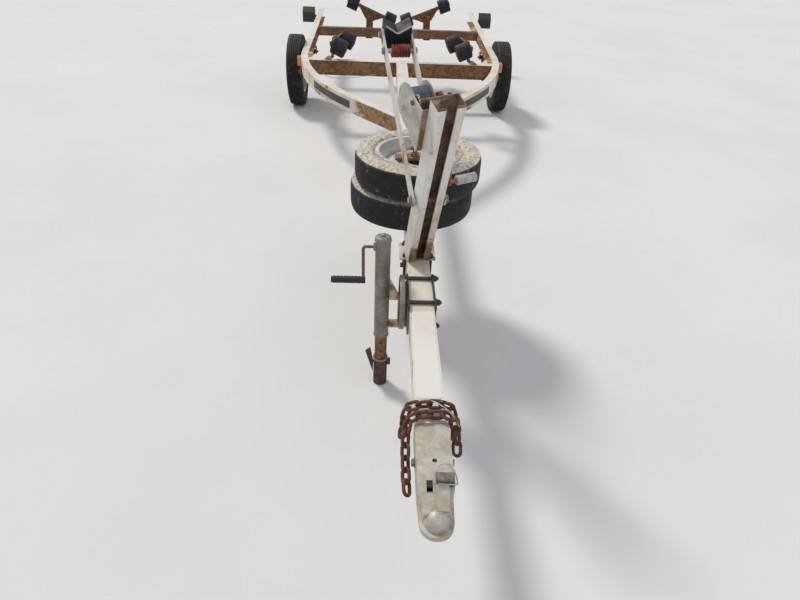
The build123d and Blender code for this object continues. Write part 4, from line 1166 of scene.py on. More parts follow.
@dataclass
class Frame:
    """Tongue, rails and cross-members, the blank plate and strips on them and a loose lead."""

    tongue_x: float = 6.0
    plate_width: float = 66.0
    plate_stations: Flat = (360.0, 736.0)
    plate_gap: float = 0.3
    plate_top: float = 1.4
    plate_corner: float = 9.0
    panel_inset: float = 2.5
    panel_corner: float = 7.0
    panel_span: Flat = (-0.2, 0.5)
    strip_stations: Flat = (2890.0, 3330.0)
    strip_steps: int = 24
    strip_back: float = 0.1
    ray_x: float = 1200.0
    ray_z: float = 410.0
    lead_radius: float = 2.2
    lead_run: tuple[Spot, ...] = ((-560, 3758, 372), (-520, 3750, 352), (-430, 3742, 344), (-330, 3744, 352),
                                  (-240, 3750, 366), (-170, 3757, 374))

    def plate(self) -> None:
        """A blank plate with a raised panel, flat on the tongue."""
        build = bmesh.new()
        low, high = self.plate_stations
        length = high - low
        margin = 2 * self.panel_inset
        place = shift(self.tongue_x, behind((low + high) / 2), FRAME_TOP)
        outline = rounded_outline(self.plate_width, length, self.plate_corner)
        inner = rounded_outline(self.plate_width - margin, length - margin, self.panel_corner)
        prism(build, outline, self.plate_gap, self.plate_top, place)
        prism(build, inner, *(self.plate_top + rise for rise in self.panel_span), place)
        add_piece(mesh_object("tongue_plate", build), Finish.PLATE, Body.FRAME, "white_paint")

    def band(self, rail: BVHTree, sign: float, stations: Flat, heights: Flat, proud: float) -> bmesh.types.BMesh:
        """Band that follows a rail's outer face.

        Args:
            rail: the rail's faces.
            sign: 1 for the right rail and -1 for the left one.
            stations: where it starts and ends behind the nose.
            heights: its lower and upper edge.
            proud: how far it stands out.

        Returns:
            Its faces, in millimetres.
        """
        build = bmesh.new()
        first, last = stations
        rows = []
        for step in range(self.strip_steps + 1):
            y = behind(first + (last - first) * step / self.strip_steps)
            start = Vector((sign * self.ray_x, y, self.ray_z)) * MM
            spot, normal, _, _ = rail.ray_cast(start, Vector((-sign, 0, 0)))
            if spot is None:
                continue
            faces = [spot / MM + normal * reach for reach in (proud, self.strip_back)]
            rows.append([build.verts.new((point.x, point.y, z)) for point in faces for z in heights])
        for here, after in zip(rows, rows[1:]):
            for one, two in ((0, 1), (1, 3), (3, 2), (2, 0)):
                build.faces.new((here[one], here[two], after[two], after[one]))
        for row in (rows[0], rows[-1]):
            build.faces.new((row[0], row[1], row[3], row[2]))
        return build

    def strips(self, nodes: dict) -> None:
        """Blank dark strips with pale edges along both rails' bends.

        Args:
            nodes: the frame's nodes by name.
        """
        first, last = self.strip_stations
        for side, sign in SIDES:
            rail = BVHTree.FromObject(nodes["side_rail_" + side], bpy.context.evaluated_depsgraph_get())
            for name, finish, heights, inset, proud in (
                    ("edge", Finish.STRIP_EDGE, (388.0, 444.0), 0.0, 0.5),
                    ("field", Finish.STRIP, (394.0, 438.0), 6.0, 0.9)):
                build = self.band(rail, sign, (first + inset, last - inset), heights, proud)
                add_piece(mesh_object(f"rail_strip_{name}_{side}", build), finish, Body.FRAME, "white_paint")

    def lead(self) -> None:
        """Loose lamp lead that hangs below the front cross-member."""
        build = bmesh.new()
        wire(build, curve_points(from_nose(self.lead_run), steps=10), self.lead_radius, sides=8)
        add_piece(mesh_object("lamp_lead", build), Finish.BLOCK_EDGE, Body.FRAME, "black_plastic")

    def build(self, nodes: dict) -> None:
        """Builds and dresses the frame.

        Args:
            nodes: the frame's nodes by name.
        """
        dress_nodes(nodes, {"tongue": Finish.TONGUE, "side_rail_right": Finish.RAIL, "side_rail_left": Finish.RAIL,
                            "front_cross_member": Finish.MEMBER, "rear_cross_member": Finish.RUSTY,
                            "corner_gussets": Finish.RAIL})
        self.plate()
        self.strips(nodes)
        self.lead()


@dataclass
class Tyre:
    """A tyre with tread grooves, shoulder blocks and ribbed sidewalls."""

    name: str
    radius: float
    place: Matrix
    width: float = 122.0
    tread: float = 92.0
    bead_radius: float = 152.7
    bead_half: float = 47.7
    flange: float = 163.0
    grooves: tuple[float, ...] = (0.0, 14.0, 29.0)
    groove_depth: float = 6.0
    groove_width: float = 5.0
    groove_lip: float = 0.3
    groove_slope: float = 0.7
    segments: int = 96
    blocks: int = 62
    block_size: Spot = (8.0, 16.0, 3.2)
    block_depth: float = 5.4
    block_lean: float = 0.42

    def outline(self) -> list[Flat]:
        """Outline from the tread's middle over the sidewall to the bead, and the same on the other side.

        Returns:
            Points of radius and height.
        """
        half = self.width / 2
        tread = self.tread / 2
        crown = self.radius
        floor = crown - self.groove_depth
        lip = crown - self.groove_lip
        points = []
        for middle in self.grooves:
            start = middle - self.groove_width / 2
            end = middle + self.groove_width / 2
            points += [(lip, start), (floor, start + self.groove_slope)] if middle else [(floor, 0.0)]
            points += [(floor, end - self.groove_slope), (lip, end)]
        shoulder = ((1.5, tread - 6), (5.0, tread + 5), (12.0, half - 9), (21.0, half - 4.2), (24.0, half - 3.4),
                    (25.5, half - 4.2), (34.0, half - 1.4))
        sidewall = ((30, 1.2), (22, 2.2), (20, 3.2), (12, 4.6), (8, 8))
        points += [(crown - depth, height) for depth, height in shoulder]
        points += [((crown + self.bead_radius) / 2, half - 0.2)]
        points += [(self.flange + rise, half - inset) for rise, inset in sidewall]
        points += [(self.flange + 2.5, self.bead_half), (self.bead_radius, self.bead_half)]
        return points + [(radius, -height) for radius, height in reversed(points) if height > 0]

    def build(self) -> bpy.types.Object:
        """Makes the tyre without its shoulder blocks.

        Returns:
            The tyre.
        """
        build = bmesh.new()
        lathe(build, self.outline(), self.place, self.segments)
        return mesh_object(self.name, build)

    def shoulder_blocks(self) -> bpy.types.Object:
        """Blocks round both shoulders, as one piece.

        Returns:
            The blocks.
        """
        spots = []
        for cosine, sine in around(self.blocks):
            out = Vector((cosine, sine, 0))
            for side in BOTH:
                height = side * (self.tread / 2 + 1.0)
                spot = self.place @ (out * (self.radius - self.block_depth) + Vector((0, 0, height)))
                lean = self.place.to_3x3() @ (out + Vector((0, 0, side * self.block_lean)))
                spots.append((spot, lean.normalized()))
        return REPEATS.set_items(self.name + "_blocks", Hardware().lug("lug", *self.block_size), spots,
                                 Finish.ROAD_TYRE)


@dataclass
class RunningGear:
    """Road wheels with their nuts and caps, the axle and its springs."""

    wheel_x: float = 806.0
    axle_station: float = 4262.0
    axle_z: float = 262.0
    tyre_radius: float = 262.0
    stud_circle: float = 114.3
    stud_count: int = 5
    nut_seat: float = 8.0
    cap_outline: tuple[Flat, ...] = ((33.0, 43.8), (33.0, 46.0), (27.0, 47.0), (26.0, 60.0), (23.0, 65.5),
                                     (15.0, 68.5), (0.01, 69.5))
    valve_start: Spot = (104, 0, 15)
    valve_end: Spot = (118, 0, 42)
    valve_radius: float = 4.0
    spring_x: float = 716.0
    clamp_across: float = 29.0
    clamp_along: float = 32.0
    clamp_z: float = 319.0
    eye_across: float = 29.6
    eye_along: float = 330.0
    eye_z: float = 332.0

    def wheels(self) -> None:
        """Tyres, nuts, hub caps and valves of both road wheels."""
        radius = self.stud_circle / 2
        for side, sign in SIDES:
            place = shift(sign * self.wheel_x, behind(self.axle_station), self.axle_z) @ turn("Y", 90 * sign)
            body = "wheel_" + side
            tyre = Tyre("road_tyre_" + side, self.tyre_radius, place)
            whole = join(tyre.name, [tyre.build(), tyre.shoulder_blocks()])
            add_piece(whole, Finish.ROAD_TYRE, body, "tyre_rubber", "tyre_" + side)
            outward = place.to_3x3() @ UP
            spots = [(place @ Vector((-radius * sine, radius * cosine, self.nut_seat)), outward)
                     for cosine, sine in around(self.stud_count)]
            nut = Hardware().nut("wheel_nut", radius=10.5, height=14.0, stem=6.0)
            add_repeated("wheel_nuts_" + side, nut, spots, Finish.BRIGHT, body, "white_paint")
            self.hub_cap(side, place, body)
            self.valve(side, place, body)

    def hub_cap(self, side: str, place: Matrix, body: str) -> None:
        """Pressed dust cap on the hub.

        Args:
            side: right or left.
            place: the wheel's place.
            body: the wheel's body.
        """
        build = bmesh.new()
        lathe(build, self.cap_outline, place, segments=48, closed=False)
        add_piece(mesh_object("hub_cap_" + side, build), Finish.BRIGHT, body, "white_paint")

    def valve(self, side: str, place: Matrix, body: str) -> None:
        """Valve stem through the rim.

        Args:
            side: right or left.
            place: the wheel's place.
            body: the wheel's body.
        """
        build = bmesh.new()
        start = place @ Vector(self.valve_start)
        end = place @ Vector(self.valve_end)
        wire(build, [start, start.lerp(end, 0.5), end], self.valve_radius, sides=12)
        add_piece(mesh_object("valve_" + side, build), Finish.BLACK, body, "tyre_rubber")

    def springs(self) -> None:
        """Nuts over the axle's clamps and on the spring pins."""
        axle_y = behind(self.axle_station)
        spots = []
        for sign in BOTH:
            for across, along in product(BOTH, repeat=2):
                x = sign * (self.spring_x + across * self.clamp_across)
                spots.append((Vector((x, axle_y + along * self.clamp_along, self.clamp_z)), UP))
            for along, face in product(BOTH, repeat=2):
                x = sign * self.spring_x + face * self.eye_across
                spots.append((Vector((x, axle_y + along * self.eye_along, self.eye_z)), Vector((face, 0, 0))))
        nut = Hardware().nut("spring_nut", radius=9.5, height=9.0, stem=6.0, washer=11.0)
        add_repeated("spring_nuts", nut, spots, Finish.DARK, Body.FRAME, "rusty_steel")

    def build(self, nodes: dict) -> None:
        """Builds and dresses the running gear.

        Args:
            nodes: the frame's nodes by name.
        """
        finishes = {"axle_beam": Finish.RUSTY, "spring_hangers": Finish.RUSTY}
        for side, _ in SIDES:
            finishes.update({"leaf_spring_" + side: Finish.DARK, "wheel_" + side: Finish.RIM,
                             "tyre_" + side: Finish.ROAD_TYRE})
        dress_nodes(nodes, finishes)
        self.wheels()
        self.springs()


@dataclass
class SpareWheels:
    """Two spare wheels that lie on the tongue."""

    lower: Spot = (-6.0, 1461.0, 521.3)
    upper: Spot = (12.0, 1445.0, 643.6)
    radius: float = 240.0
    groove_depth: float = 0.9
    groove_width: float = 1.8

    def build(self, nodes: dict) -> None:
        """Builds and dresses the spares.

        Args:
            nodes: the frame's nodes by name.
        """
        dress_nodes(nodes, {"spare_rims": Finish.RIM, "spare_carrier": Finish.RUSTY,
                            "spare_tyres": Finish.SPARE_TYRE})
        pieces = []
        for label, spot in (("lower", self.lower), ("upper", self.upper)):
            place = shift(*from_nose([spot])[0])
            tyre = Tyre("spare_" + label, self.radius, place, groove_depth=self.groove_depth,
                        groove_width=self.groove_width)
            pieces.append(tyre.build())
        add_piece(join("spare_tyre_pair", pieces), Finish.SPARE_TYRE, Body.FRAME, "dusty_rubber", "spare_tyres")


@dataclass
class Coupler:
    """Coupler with its latch, side bolts, bail and safety chain.

    The runs of the tie, the bail and its lever are given from the coupler's middle, its nose and its top, and
    those of the chain from the frame's middle, the nose and the ground.
    """

    x: float = 6.0
    top: float = 463.3
    bolt_x: float = 41.3
    bolt_station: float = 188.0
    bolt_z: float = 424.0
    tie_radius: float = 1.6
    tie_run: tuple[Spot, ...] = ((-14, 338, 16), (12, 318, 26), (44, 288, 24), (66, 262, 2))
    bail_radius: float = 1.7
    bail_run: tuple[Spot, ...] = ((-4, 98, 16), (-2, 116, 28), (14, 126, 33), (32, 122, 29), (42, 104, 18),
                                  (44, 89, 10))
    lever_run: tuple[Spot, ...] = ((44, 89, 10), (18, 88.5, 11), (2, 89, 12))
    link_length: float = 45.0
    link_width: float = 29.0
    link_radius: float = 4.4
    link_pitch: float = 27.5
    link_turn: float = 45.0
    near_run: tuple[Spot, ...] = ((-55, 142, 392.6), (-57, 200, 411.6), (-56, 252, 448.6), (-47, 276, 471.6),
                                  (-20, 288, 476.6), (12, 290, 476.6), (48, 284, 476.6), (67, 262, 448.6),
                                  (68, 240, 414.6))
    far_run: tuple[Spot, ...] = ((-60, 302, 402.8), (-58, 308, 438.8), (-48, 316, 471.8), (-20, 322, 477.8),
                                 (12, 324, 477.8), (50, 318, 476.8), (66, 306, 443.8), (68, 296, 406.8))

    def over_top(self, run: Sequence[Spot]) -> list[Vector]:
        """Points of a run that is given from the coupler's middle, nose and top."""
        return [Vector((self.x + x, behind(station), self.top + z)) for x, station, z in run]

    def bolts(self) -> None:
        """Bolts through the coupler's sides."""
        spots = [(Vector((self.x + sign * self.bolt_x, behind(self.bolt_station), self.bolt_z)),
                  Vector((sign, 0, 0))) for sign in BOTH]
        nut = Hardware().nut("side_bolt", radius=9.5, height=7.0, washer=11.5)
        add_repeated("coupler_bolts", nut, spots, Finish.ZINC, Body.FRAME, "coupler_zinc")

    def tie(self) -> None:
        """Pale tie wire over the chain."""
        build = bmesh.new()
        wire(build, curve_points(self.over_top(self.tie_run), steps=10), self.tie_radius, sides=8)
        add_piece(mesh_object("chain_tie", build), Finish.PALE_GRIP, Body.FRAME, "rusty_steel")

    def bail(self) -> None:
        """Spring wire bail over the latch, and its lever."""
        build = bmesh.new()
        wire(build, curve_points(self.over_top(self.bail_run)), self.bail_radius)
        wire(build, self.over_top(self.lever_run), self.bail_radius)
        add_piece(mesh_object("latch_bail", build), Finish.BRIGHT, Body.FRAME, "coupler_zinc")

    def chain(self) -> None:
        """Safety chain wrapped twice over the tongue."""
        link = Hardware().link("link", self.link_length, self.link_width, self.link_radius)
        pieces = []
        for name, corners in (("near", self.near_run), ("far", self.far_run)):
            run = curve_points(from_nose(corners), steps=10)
            length = sum((after - before).length for before, after in zip(run, run[1:]))
            count = round(length / self.link_pitch) + 1
            pieces.append(REPEATS.set_along("chain_" + name, link, run, count, self.link_turn, Finish.CHAIN))
        bpy.data.objects.remove(link)
        add_piece(join("chain_links", pieces), Finish.CHAIN, Body.FRAME, "rusty_steel", "safety_chain")

    def build(self, nodes: dict) -> None:
        """Builds and dresses the coupler.

        Args:
            nodes: the frame's nodes by name.
        """
        dress_nodes(nodes, {"coupler_body": Finish.COUPLER, "coupler_latch": Finish.LATCH,
                            "safety_chain": Finish.CHAIN})
        self.bolts()
        self.tie()
        self.bail()
        self.chain()


@dataclass
class Jack:
    """Side jack with its mount, crank and foot."""

    x: float = -116.0
    station: float = 927.0
    mount_x: float = 50.2
    mount_stations: Flat = (775.0, 911.0)
    mount_heights: Flat = (377.0, 467.0)
    crank_x: float = -179.0
    shaft_z: float = 572.0
    arm: float = 126.0
    grip_start: float = 7.0
    grip_length: float = 113.0
    grip_bore: float = 5.2
    grip_radius: float = 11.3
    rib_radius: float = 12.4
    rib_count: int = 9
    rib_margin: float = 4.0
    rib_slope: float = 2.2
    weld_heights: Flat = (223.0, 597.0)
    cap_bolt: tuple[Flat, ...] = ((7.0, 611.5), (7.0, 617.0), (4.0, 619.0), (0.01, 619.0))
    disc_x: float = -50.2
    disc_radius: float = 87.0
    disc_station: float = 846.0
    disc_z: float = 416.0
    rim_steps: tuple[Flat, ...] = ((0.0, -5.0), (0.0, 8.0), (1.5, 10.5), (4.0, 11.0), (4.5, 9.0), (3.6, 7.0),
                                   (3.6, -0.2))
    foot_outline: tuple[Flat, ...] = ((24.3, 112.0), (26.2, 113.0), (26.6, 117.0), (26.0, 120.4), (23.0, 120.4),
                                      (22.2, 119.0))

    def mount_nuts(self) -> None:
        """Nuts on the four bolts that clamp the mount."""
        spots = [(Vector((self.mount_x, behind(station), z)), Vector((1, 0, 0)))
                 for station, z in product(self.mount_stations, self.mount_heights)]
        nut = Hardware().nut("mount_nut", radius=11.0, height=10.0, stem=6.0, washer=13.0)
        add_repeated("mount_nuts", nut, spots, Finish.DARK, Body.FRAME, "zinc_steel")

    def grip_ribs(self) -> None:
        """Finger ribs on the crank's grip."""
        length = self.grip_length
        slope = self.rib_slope
        pitch = (length - 2 * self.rib_margin) / self.rib_count
        outline = [(self.grip_bore, 0.0), (self.grip_radius, 0.0)]
        for index in range(self.rib_count):
            base = self.rib_margin + index * pitch
            outline += [(self.grip_radius, base), (self.rib_radius, base + slope),
                        (self.rib_radius, base + pitch - 2 * slope), (self.grip_radius, base + pitch - slope)]
        outline += [(self.grip_radius, length - 2), (8.0, length), (0.01, length)]
        build = bmesh.new()
        place = shift(self.crank_x + self.grip_start, behind(self.station), self.shaft_z - self.arm)
        lathe(build, outline, place @ turn("Y", -90), segments=32, closed=False)
        add_piece(mesh_object("jack_grip_ribs", build), Finish.GRIP, Body.JACK_CRANK, "black_plastic", "jack_grip")

    def tube_rings(self) -> None:
        """Weld rings and the cap's bolt on the outer tube."""
        build = bmesh.new()
        place = shift(self.x, behind(self.station), 0)
        for z in self.weld_heights:
            lathe(build, [(25.1, z - 2), (27.0, z - 1.4), (27.0, z + 1.4), (25.1, z + 2)], place, segments=48)
        lathe(build, self.cap_bolt, place, segments=24, closed=False)
        add_piece(mesh_object("jack_tube_rings", build), Finish.ZINC, Body.JACK, "zinc_steel")

    def disc_rim(self) -> None:
        """Turned rim of the swivel's disc."""
        build = bmesh.new()
        place = shift(self.disc_x, behind(self.disc_station), self.disc_z) @ turn("Y", -90)
        outline = [(self.disc_radius - inset, height) for inset, height in self.rim_steps]
        lathe(build, outline, place, segments=72, closed=False)
        add_piece(mesh_object("jack_disc_rim", build), Finish.JACK_ZINC, Body.JACK, "zinc_steel")

    def foot_ring(self) -> None:
        """Rolled rim at the top of the foot's sleeve."""
        build = bmesh.new()
        lathe(build, self.foot_outline, shift(self.x, behind(self.station), 0), segments=48, closed=False)
        add_piece(mesh_object("jack_foot_ring", build), Finish.ZINC, Body.JACK_LEG, "rusty_steel")

    def build(self, nodes: dict) -> None:
        """Builds and dresses the jack.

        Args:
            nodes: the frame's nodes by name.
        """
        dress_nodes(nodes, {"jack_mount": Finish.MOUNT_ZINC, "jack_tube": Finish.JACK_ZINC, "jack_leg": Finish.RUSTY,
                            "jack_foot": Finish.DARK, "jack_crank": Finish.RUSTY, "jack_grip": Finish.GRIP})
        self.mount_nuts()
        self.grip_ribs()
        self.tube_rings()
        self.disc_rim()
        self.foot_ring()


@dataclass
class WinchStand:
    """Winch post, its bow arms, V block and ribbed roller."""

    arm_low: Flat = (-107.0, 265.0)
    arm_high: Flat = (483.0, 619.0)
    pin_reach: float = 53.2
    clamp_sides: Flat = (-39.0, 51.0)
    clamp_stations: Flat = (1050.0, 1132.0)
    clamp_z: float = 466.0
    roller_back: float = 77.0
    roller_radius: float = 22.0
    roller_bore: float = 8.1
    roller_span: Flat = (-29.0, 37.0)
    rib_count: int = 7
    rib_steps: tuple[Flat, ...] = ((3.2, 0.4), (0.6, 1.8))
    block_half: float = 44.5
    block_top: float = 46.5
    block_notch: float = 25.5
    block_front: float = -29.5
    block_tilt: float = 18.0
    edge_sag: float = 1.0
    edge_radius: float = 3.0

    def arm_spot(self, back: float) -> Flat:
        """Y and z on the stand of a distance back from the arms' top pin.

        Args:
            back: the distance, along the arms.

        Returns:
            The place.
        """
        low = Vector(self.arm_low)
        high = Vector(self.arm_high)
        spot = high - (high - low).normalized() * back
        return spot.x, spot.y

    def pin_nuts(self) -> None:
        """Nuts on the arms' three cross pins and on the base's clamps."""
        across = STAND.to_3x3() @ Vector((1, 0, 0))
        spots = [(STAND @ Vector((sign * self.pin_reach, y, z)), across * sign)
                 for y, z in (self.arm_low, self.arm_spot(self.roller_back), self.arm_high) for sign in BOTH]
        nut = Hardware().nut("arm_nut", radius=12.0, height=8.0, washer=15.0)
        add_repeated("arm_nuts", nut, spots, Finish.ZINC, Body.FRAME, "white_paint")
        spots = [(Vector((x, behind(station), self.clamp_z)), UP)
                 for x, station in product(self.clamp_sides, self.clamp_stations)]
        nut = Hardware().nut("clamp_nut", radius=8.5, height=8.0, stem=5.0, washer=10.0)
        add_repeated("clamp_nuts", nut, spots, Finish.DARK, Body.FRAME, "rusty_steel")

    def bow_roller(self) -> None:
        """Ribbed roller below the block."""
        low, high = self.roller_span
        length = high - low
        pitch = length / self.rib_count
        outline = [(self.roller_bore, 0.0)]
        for index in range(self.rib_count):
            base = index * pitch
            outline += [(self.roller_radius - depth, base + step) for depth, step in self.rib_steps]
            outline += [(self.roller_radius, base + pitch / 2)]
            outline += [(self.roller_radius - depth, base + pitch - step) for depth, step in self.rib_steps[::-1]]
        outline += [(self.roller_bore, length)]
        build = bmesh.new()
        lathe(build, outline, STAND @ shift(low, *self.arm_spot(self.roller_back)) @ turn("Y", 90), segments=40)
        add_piece(mesh_object("ribbed_bow_roller", build), Finish.MAROON, Body.BOW_ROLLER, "maroon_rubber",
                  "bow_roller")

    def block_edge(self) -> None:
        """Pale lip along the block's V, on its front edge: a painted highlight of the lit edge, with some wear."""
        build = bmesh.new()
        drops = ((-1.0, 0.0), (-0.5, self.block_notch * 0.5 + self.edge_sag), (0.0, self.block_notch),
                 (0.5, self.block_notch * 0.5 + self.edge_sag), (1.0, 0.0))
        run = [(self.block_half * share, self.block_front, self.block_top - drop) for share, drop in drops]
        # Painted highlight along the lit front edge of the V.
        wire(build, curve_points(run, steps=6), self.edge_radius, sides=8)
        place = STAND @ shift(0, *self.arm_high) @ turn("X", self.block_tilt)
        add_piece(mesh_object("block_edge", build, place), Finish.BLOCK_EDGE, Body.FRAME, "black_plastic")

    def build(self, nodes: dict) -> None:
        """Builds and dresses the stand.

        Args:
            nodes: the frame's nodes by name.
        """
        dress_nodes(nodes, {"winch_post": Finish.POST, "base_clamp": Finish.DARK, "bow_arms": Finish.ARM,
                            "bow_block": Finish.BLOCK, "bow_roller": Finish.MAROON})
        self.pin_nuts()
        self.block_edge()
        self.bow_roller()


@dataclass
class Winch:
    """Hand winch with its toothed gear, webbing and crank; its spots are given on the post."""

    drum: Flat = (136.0, 538.0)
    pinion: Flat = (80.0, 596.0)
    gear_faces: Flat = (-50.5, -43.5)
    gear_radius: float = 62.0
    gear_teeth: int = 48
    pinion_teeth: int = 14
    tooth_size: tuple[float, float, float, float] = (4.4, 2.0, 1.6, 7.4)
    strap_span: Flat = (-43.2, 12.8)
    strap_core: float = 20.1
    strap_radius: float = 49.0
    strap_layers: int = 9
    layer_bulge: float = 0.85
    layer_wander: float = 0.9
    crank_length: float = 252.0
    crank_angle: float = 22.0
    grip_span: Flat = (73.0, 138.0)
    bolt_y: float = 29.2
    bolt_spots: tuple[Flat, ...] = ((-24, 486), (12, 486), (-24, 592))

    def ring(self, centre: Flat, radius: float, count: int, x: float) -> list[Placed]:
        """Spots round a shaft, each facing away from it.

        Args:
            centre: the shaft's y and z.
            radius: the spots' distance from it.
            count: how many.
            x: their place along the shaft.

        Returns:
            Place and outward direction of each.
        """
        spots = []
        for cosine, sine in around(count):
            out = Vector((0, cosine, sine))
            spots.append((POST @ (Vector((x, *centre)) + out * radius), POST.to_3x3() @ out))
        return spots

    def teeth(self) -> None:
        """Teeth of the gear and of its pinion."""
        middle = sum(self.gear_faces) / 2
        pinion_radius = self.gear_radius * self.pinion_teeth / self.gear_teeth
        for name, centre, radius, count, body, slot in (
                ("gear_teeth", self.drum, self.gear_radius, self.gear_teeth, Body.DRUM, "zinc_steel"),
                ("pinion_teeth", self.pinion, pinion_radius, self.pinion_teeth, Body.CRANK, "rusty_steel")):
            tooth = Hardware().tooth("tooth", *self.tooth_size)
            add_repeated(name, tooth, self.ring(centre, radius, count, middle), Finish.GEAR, body, slot)

    def webbing(self) -> None:
        """Webbing wound on the drum, its edges stepped layer by layer."""
        low, high = self.strap_span
        step = (self.strap_radius - self.strap_core) / self.strap_layers
        near, far = [], []
        for index in range(self.strap_layers):
            wander = self.layer_wander * math.sin(index * 2.1)
            inner = self.strap_core + step * index
            outer = self.strap_core + step * (index + self.layer_bulge)
            near += [(inner, low + 1.2 + wander), (outer, low + 1.0 + wander)]
            far += [(inner, high - 1.6 + wander), (outer, high - 1.6 + wander)]
        outline = [(self.strap_core, low + 0.8), *near, (self.strap_radius, low + 2.0), (self.strap_radius, high - 2.0),
                   *reversed(far)]
        build = bmesh.new()
        lathe(build, outline, POST @ shift(0, *self.drum) @ turn("Y", 90))
        add_piece(mesh_object("wound_webbing", build), Finish.STRAP, Body.DRUM, "webbing", "winch_strap")

    def grip(self) -> None:
        """Round hand grip with a collar at each end."""
        low, high = self.grip_span
        length = high - low
        angle = math.radians(self.crank_angle)
        y = self.pinion[0] - math.sin(angle) * self.crank_length
        z = self.pinion[1] - math.cos(angle) * self.crank_length
        outline = [(6.1, 0.0), (12.5, 0.0), (14.6, 1.6), (15.0, 6.0), (14.0, 9.0), (14.4, length / 2),
                   (14.0, length - 9), (15.0, length - 6), (14.6, length - 1.6), (12.0, length), (6.1, length)]
        build = bmesh.new()
        lathe(build, outline, POST @ shift(low, y, z) @ turn("Y", 90), segments=40)
        add_piece(mesh_object("crank_hand_grip", build), Finish.PALE_GRIP, Body.CRANK, "grey_plastic", "winch_grip")

    def frame_bolts(self) -> None:
        """Bolts that hold the winch frame on the post."""
        back = POST.to_3x3() @ Vector((0, 1, 0))
        spots = [(POST @ Vector((x, self.bolt_y, z)), back) for x, z in self.bolt_spots]
        nut = Hardware().nut("frame_bolt", radius=8.5, height=6.0, washer=10.0)
        add_repeated("winch_bolts", nut, spots, Finish.ZINC, Body.FRAME, "rusty_steel")

    def build(self, nodes: dict) -> None:
        """Builds and dresses the winch.

        Args:
            nodes: the frame's nodes by name.
        """
        dress_nodes(nodes, {"winch_frame": Finish.WINCH, "winch_drum": Finish.GEAR, "winch_crank": Finish.RUSTY,
                            "winch_strap": Finish.STRAP, "winch_grip": Finish.PALE_GRIP})
        self.teeth()
        self.webbing()
        self.grip()
        self.frame_bolts()


@dataclass
class HullRollers:
    """Rollers of the two rockers and the two cradles, and their pivots' nuts."""

    radius: float = 58.0
    length: float = 96.0
    gap: float = 5.5
    rocker_half: float = 122.0
    cradle_offset: float = 172.5
    axle_bore: float = 10.05
    groove_depth: float = 1.6
    rocker_face: float = 23.7
    cradle_drop: float = 50.0
    cradle_face: float = 18.7

    def outline(self) -> list[Flat]:
        """Outline of a roller: rounded ends with a shallow recess and two fine grooves.

        Returns:
            Points of radius and height.
        """
        radius = self.radius
        groove = radius - self.groove_depth
        end = [(self.axle_bore, 2.0), (17.0, 2.0), (18.0, 0.0), (24.0, 0.0), (26.0, 3.5), (44.0, 3.5), (47.0, 0.4),
               (52.0, 0.4), (56.0, 2.2), (radius, 6.5), (radius, 23.0), (groove, 24.2), (groove, 26.0),
               (radius, 27.2)]
        return end + [(point, self.length - height) for point, height in reversed(end)]

    def roller(self, node: str, place: Matrix) -> None:
        """Makes the roller of a node.

        Args:
            node: the node that it stands for, which is its body too.
            place: its end's place, its shaft along X.
        """
        build = bmesh.new()
        lathe(build, self.outline(), place @ turn("Y", 90))
        add_piece(mesh_object("ribbed_" + node, build), Finish.ROLLER, node, "roller_rubber", node)

    def pin_nuts(self) -> None:
        """Nuts on the rockers' and the cradles' pivots."""
        spots = []
        pivot = CRADLE @ Vector((0, 0, -self.cradle_drop))
        outward = ROCKER.to_3x3() @ Vector((1, 0, 0))
        for _, sign in SIDES:
            flip = Matrix.Scale(sign, 3, (1, 0, 0))
            spots.append((flip @ (ROCKER @ Vector((self.rocker_face, 0, 0))), flip @ outward))
            for face in BOTH:
                spots.append((flip @ (pivot + Vector((0, face * self.cradle_face, 0))), Vector((0, face, 0))))
        nut = Hardware().nut("pivot_nut", radius=13.0, height=9.0, washer=16.0)
        add_repeated("pivot_nuts", nut, spots, Finish.RUSTY, Body.FRAME, "rusty_steel")

    def build(self, nodes: dict) -> None:
        """Builds and dresses the rollers.

        Args:
            nodes: the frame's nodes by name.
        """
        finishes = {"rocker_posts": Finish.RUSTY, "cradle_posts": Finish.RUSTY}
        for side, sign in SIDES:
            base = IDENTITY if sign > 0 else MIRROR
            finishes.update({"rocker_" + side: Finish.RUSTY, "cradle_" + side: Finish.RUSTY})
            for name, carrier, spot in (
                    ("front_roller_fore_", ROCKER, (-self.gap - self.length, -self.rocker_half, 0)),
                    ("front_roller_aft_", ROCKER, (-self.gap - self.length, self.rocker_half, 0)),
                    ("rear_roller_inner_", CRADLE, (-self.cradle_offset - self.length / 2, 0, 0)),
                    ("rear_roller_outer_", CRADLE, (self.cradle_offset - self.length / 2, 0, 0))):
                finishes[name + side] = Finish.ROLLER
                self.roller(name + side, base @ carrier @ shift(*spot))
        dress_nodes(nodes, finishes)
        self.pin_nuts()


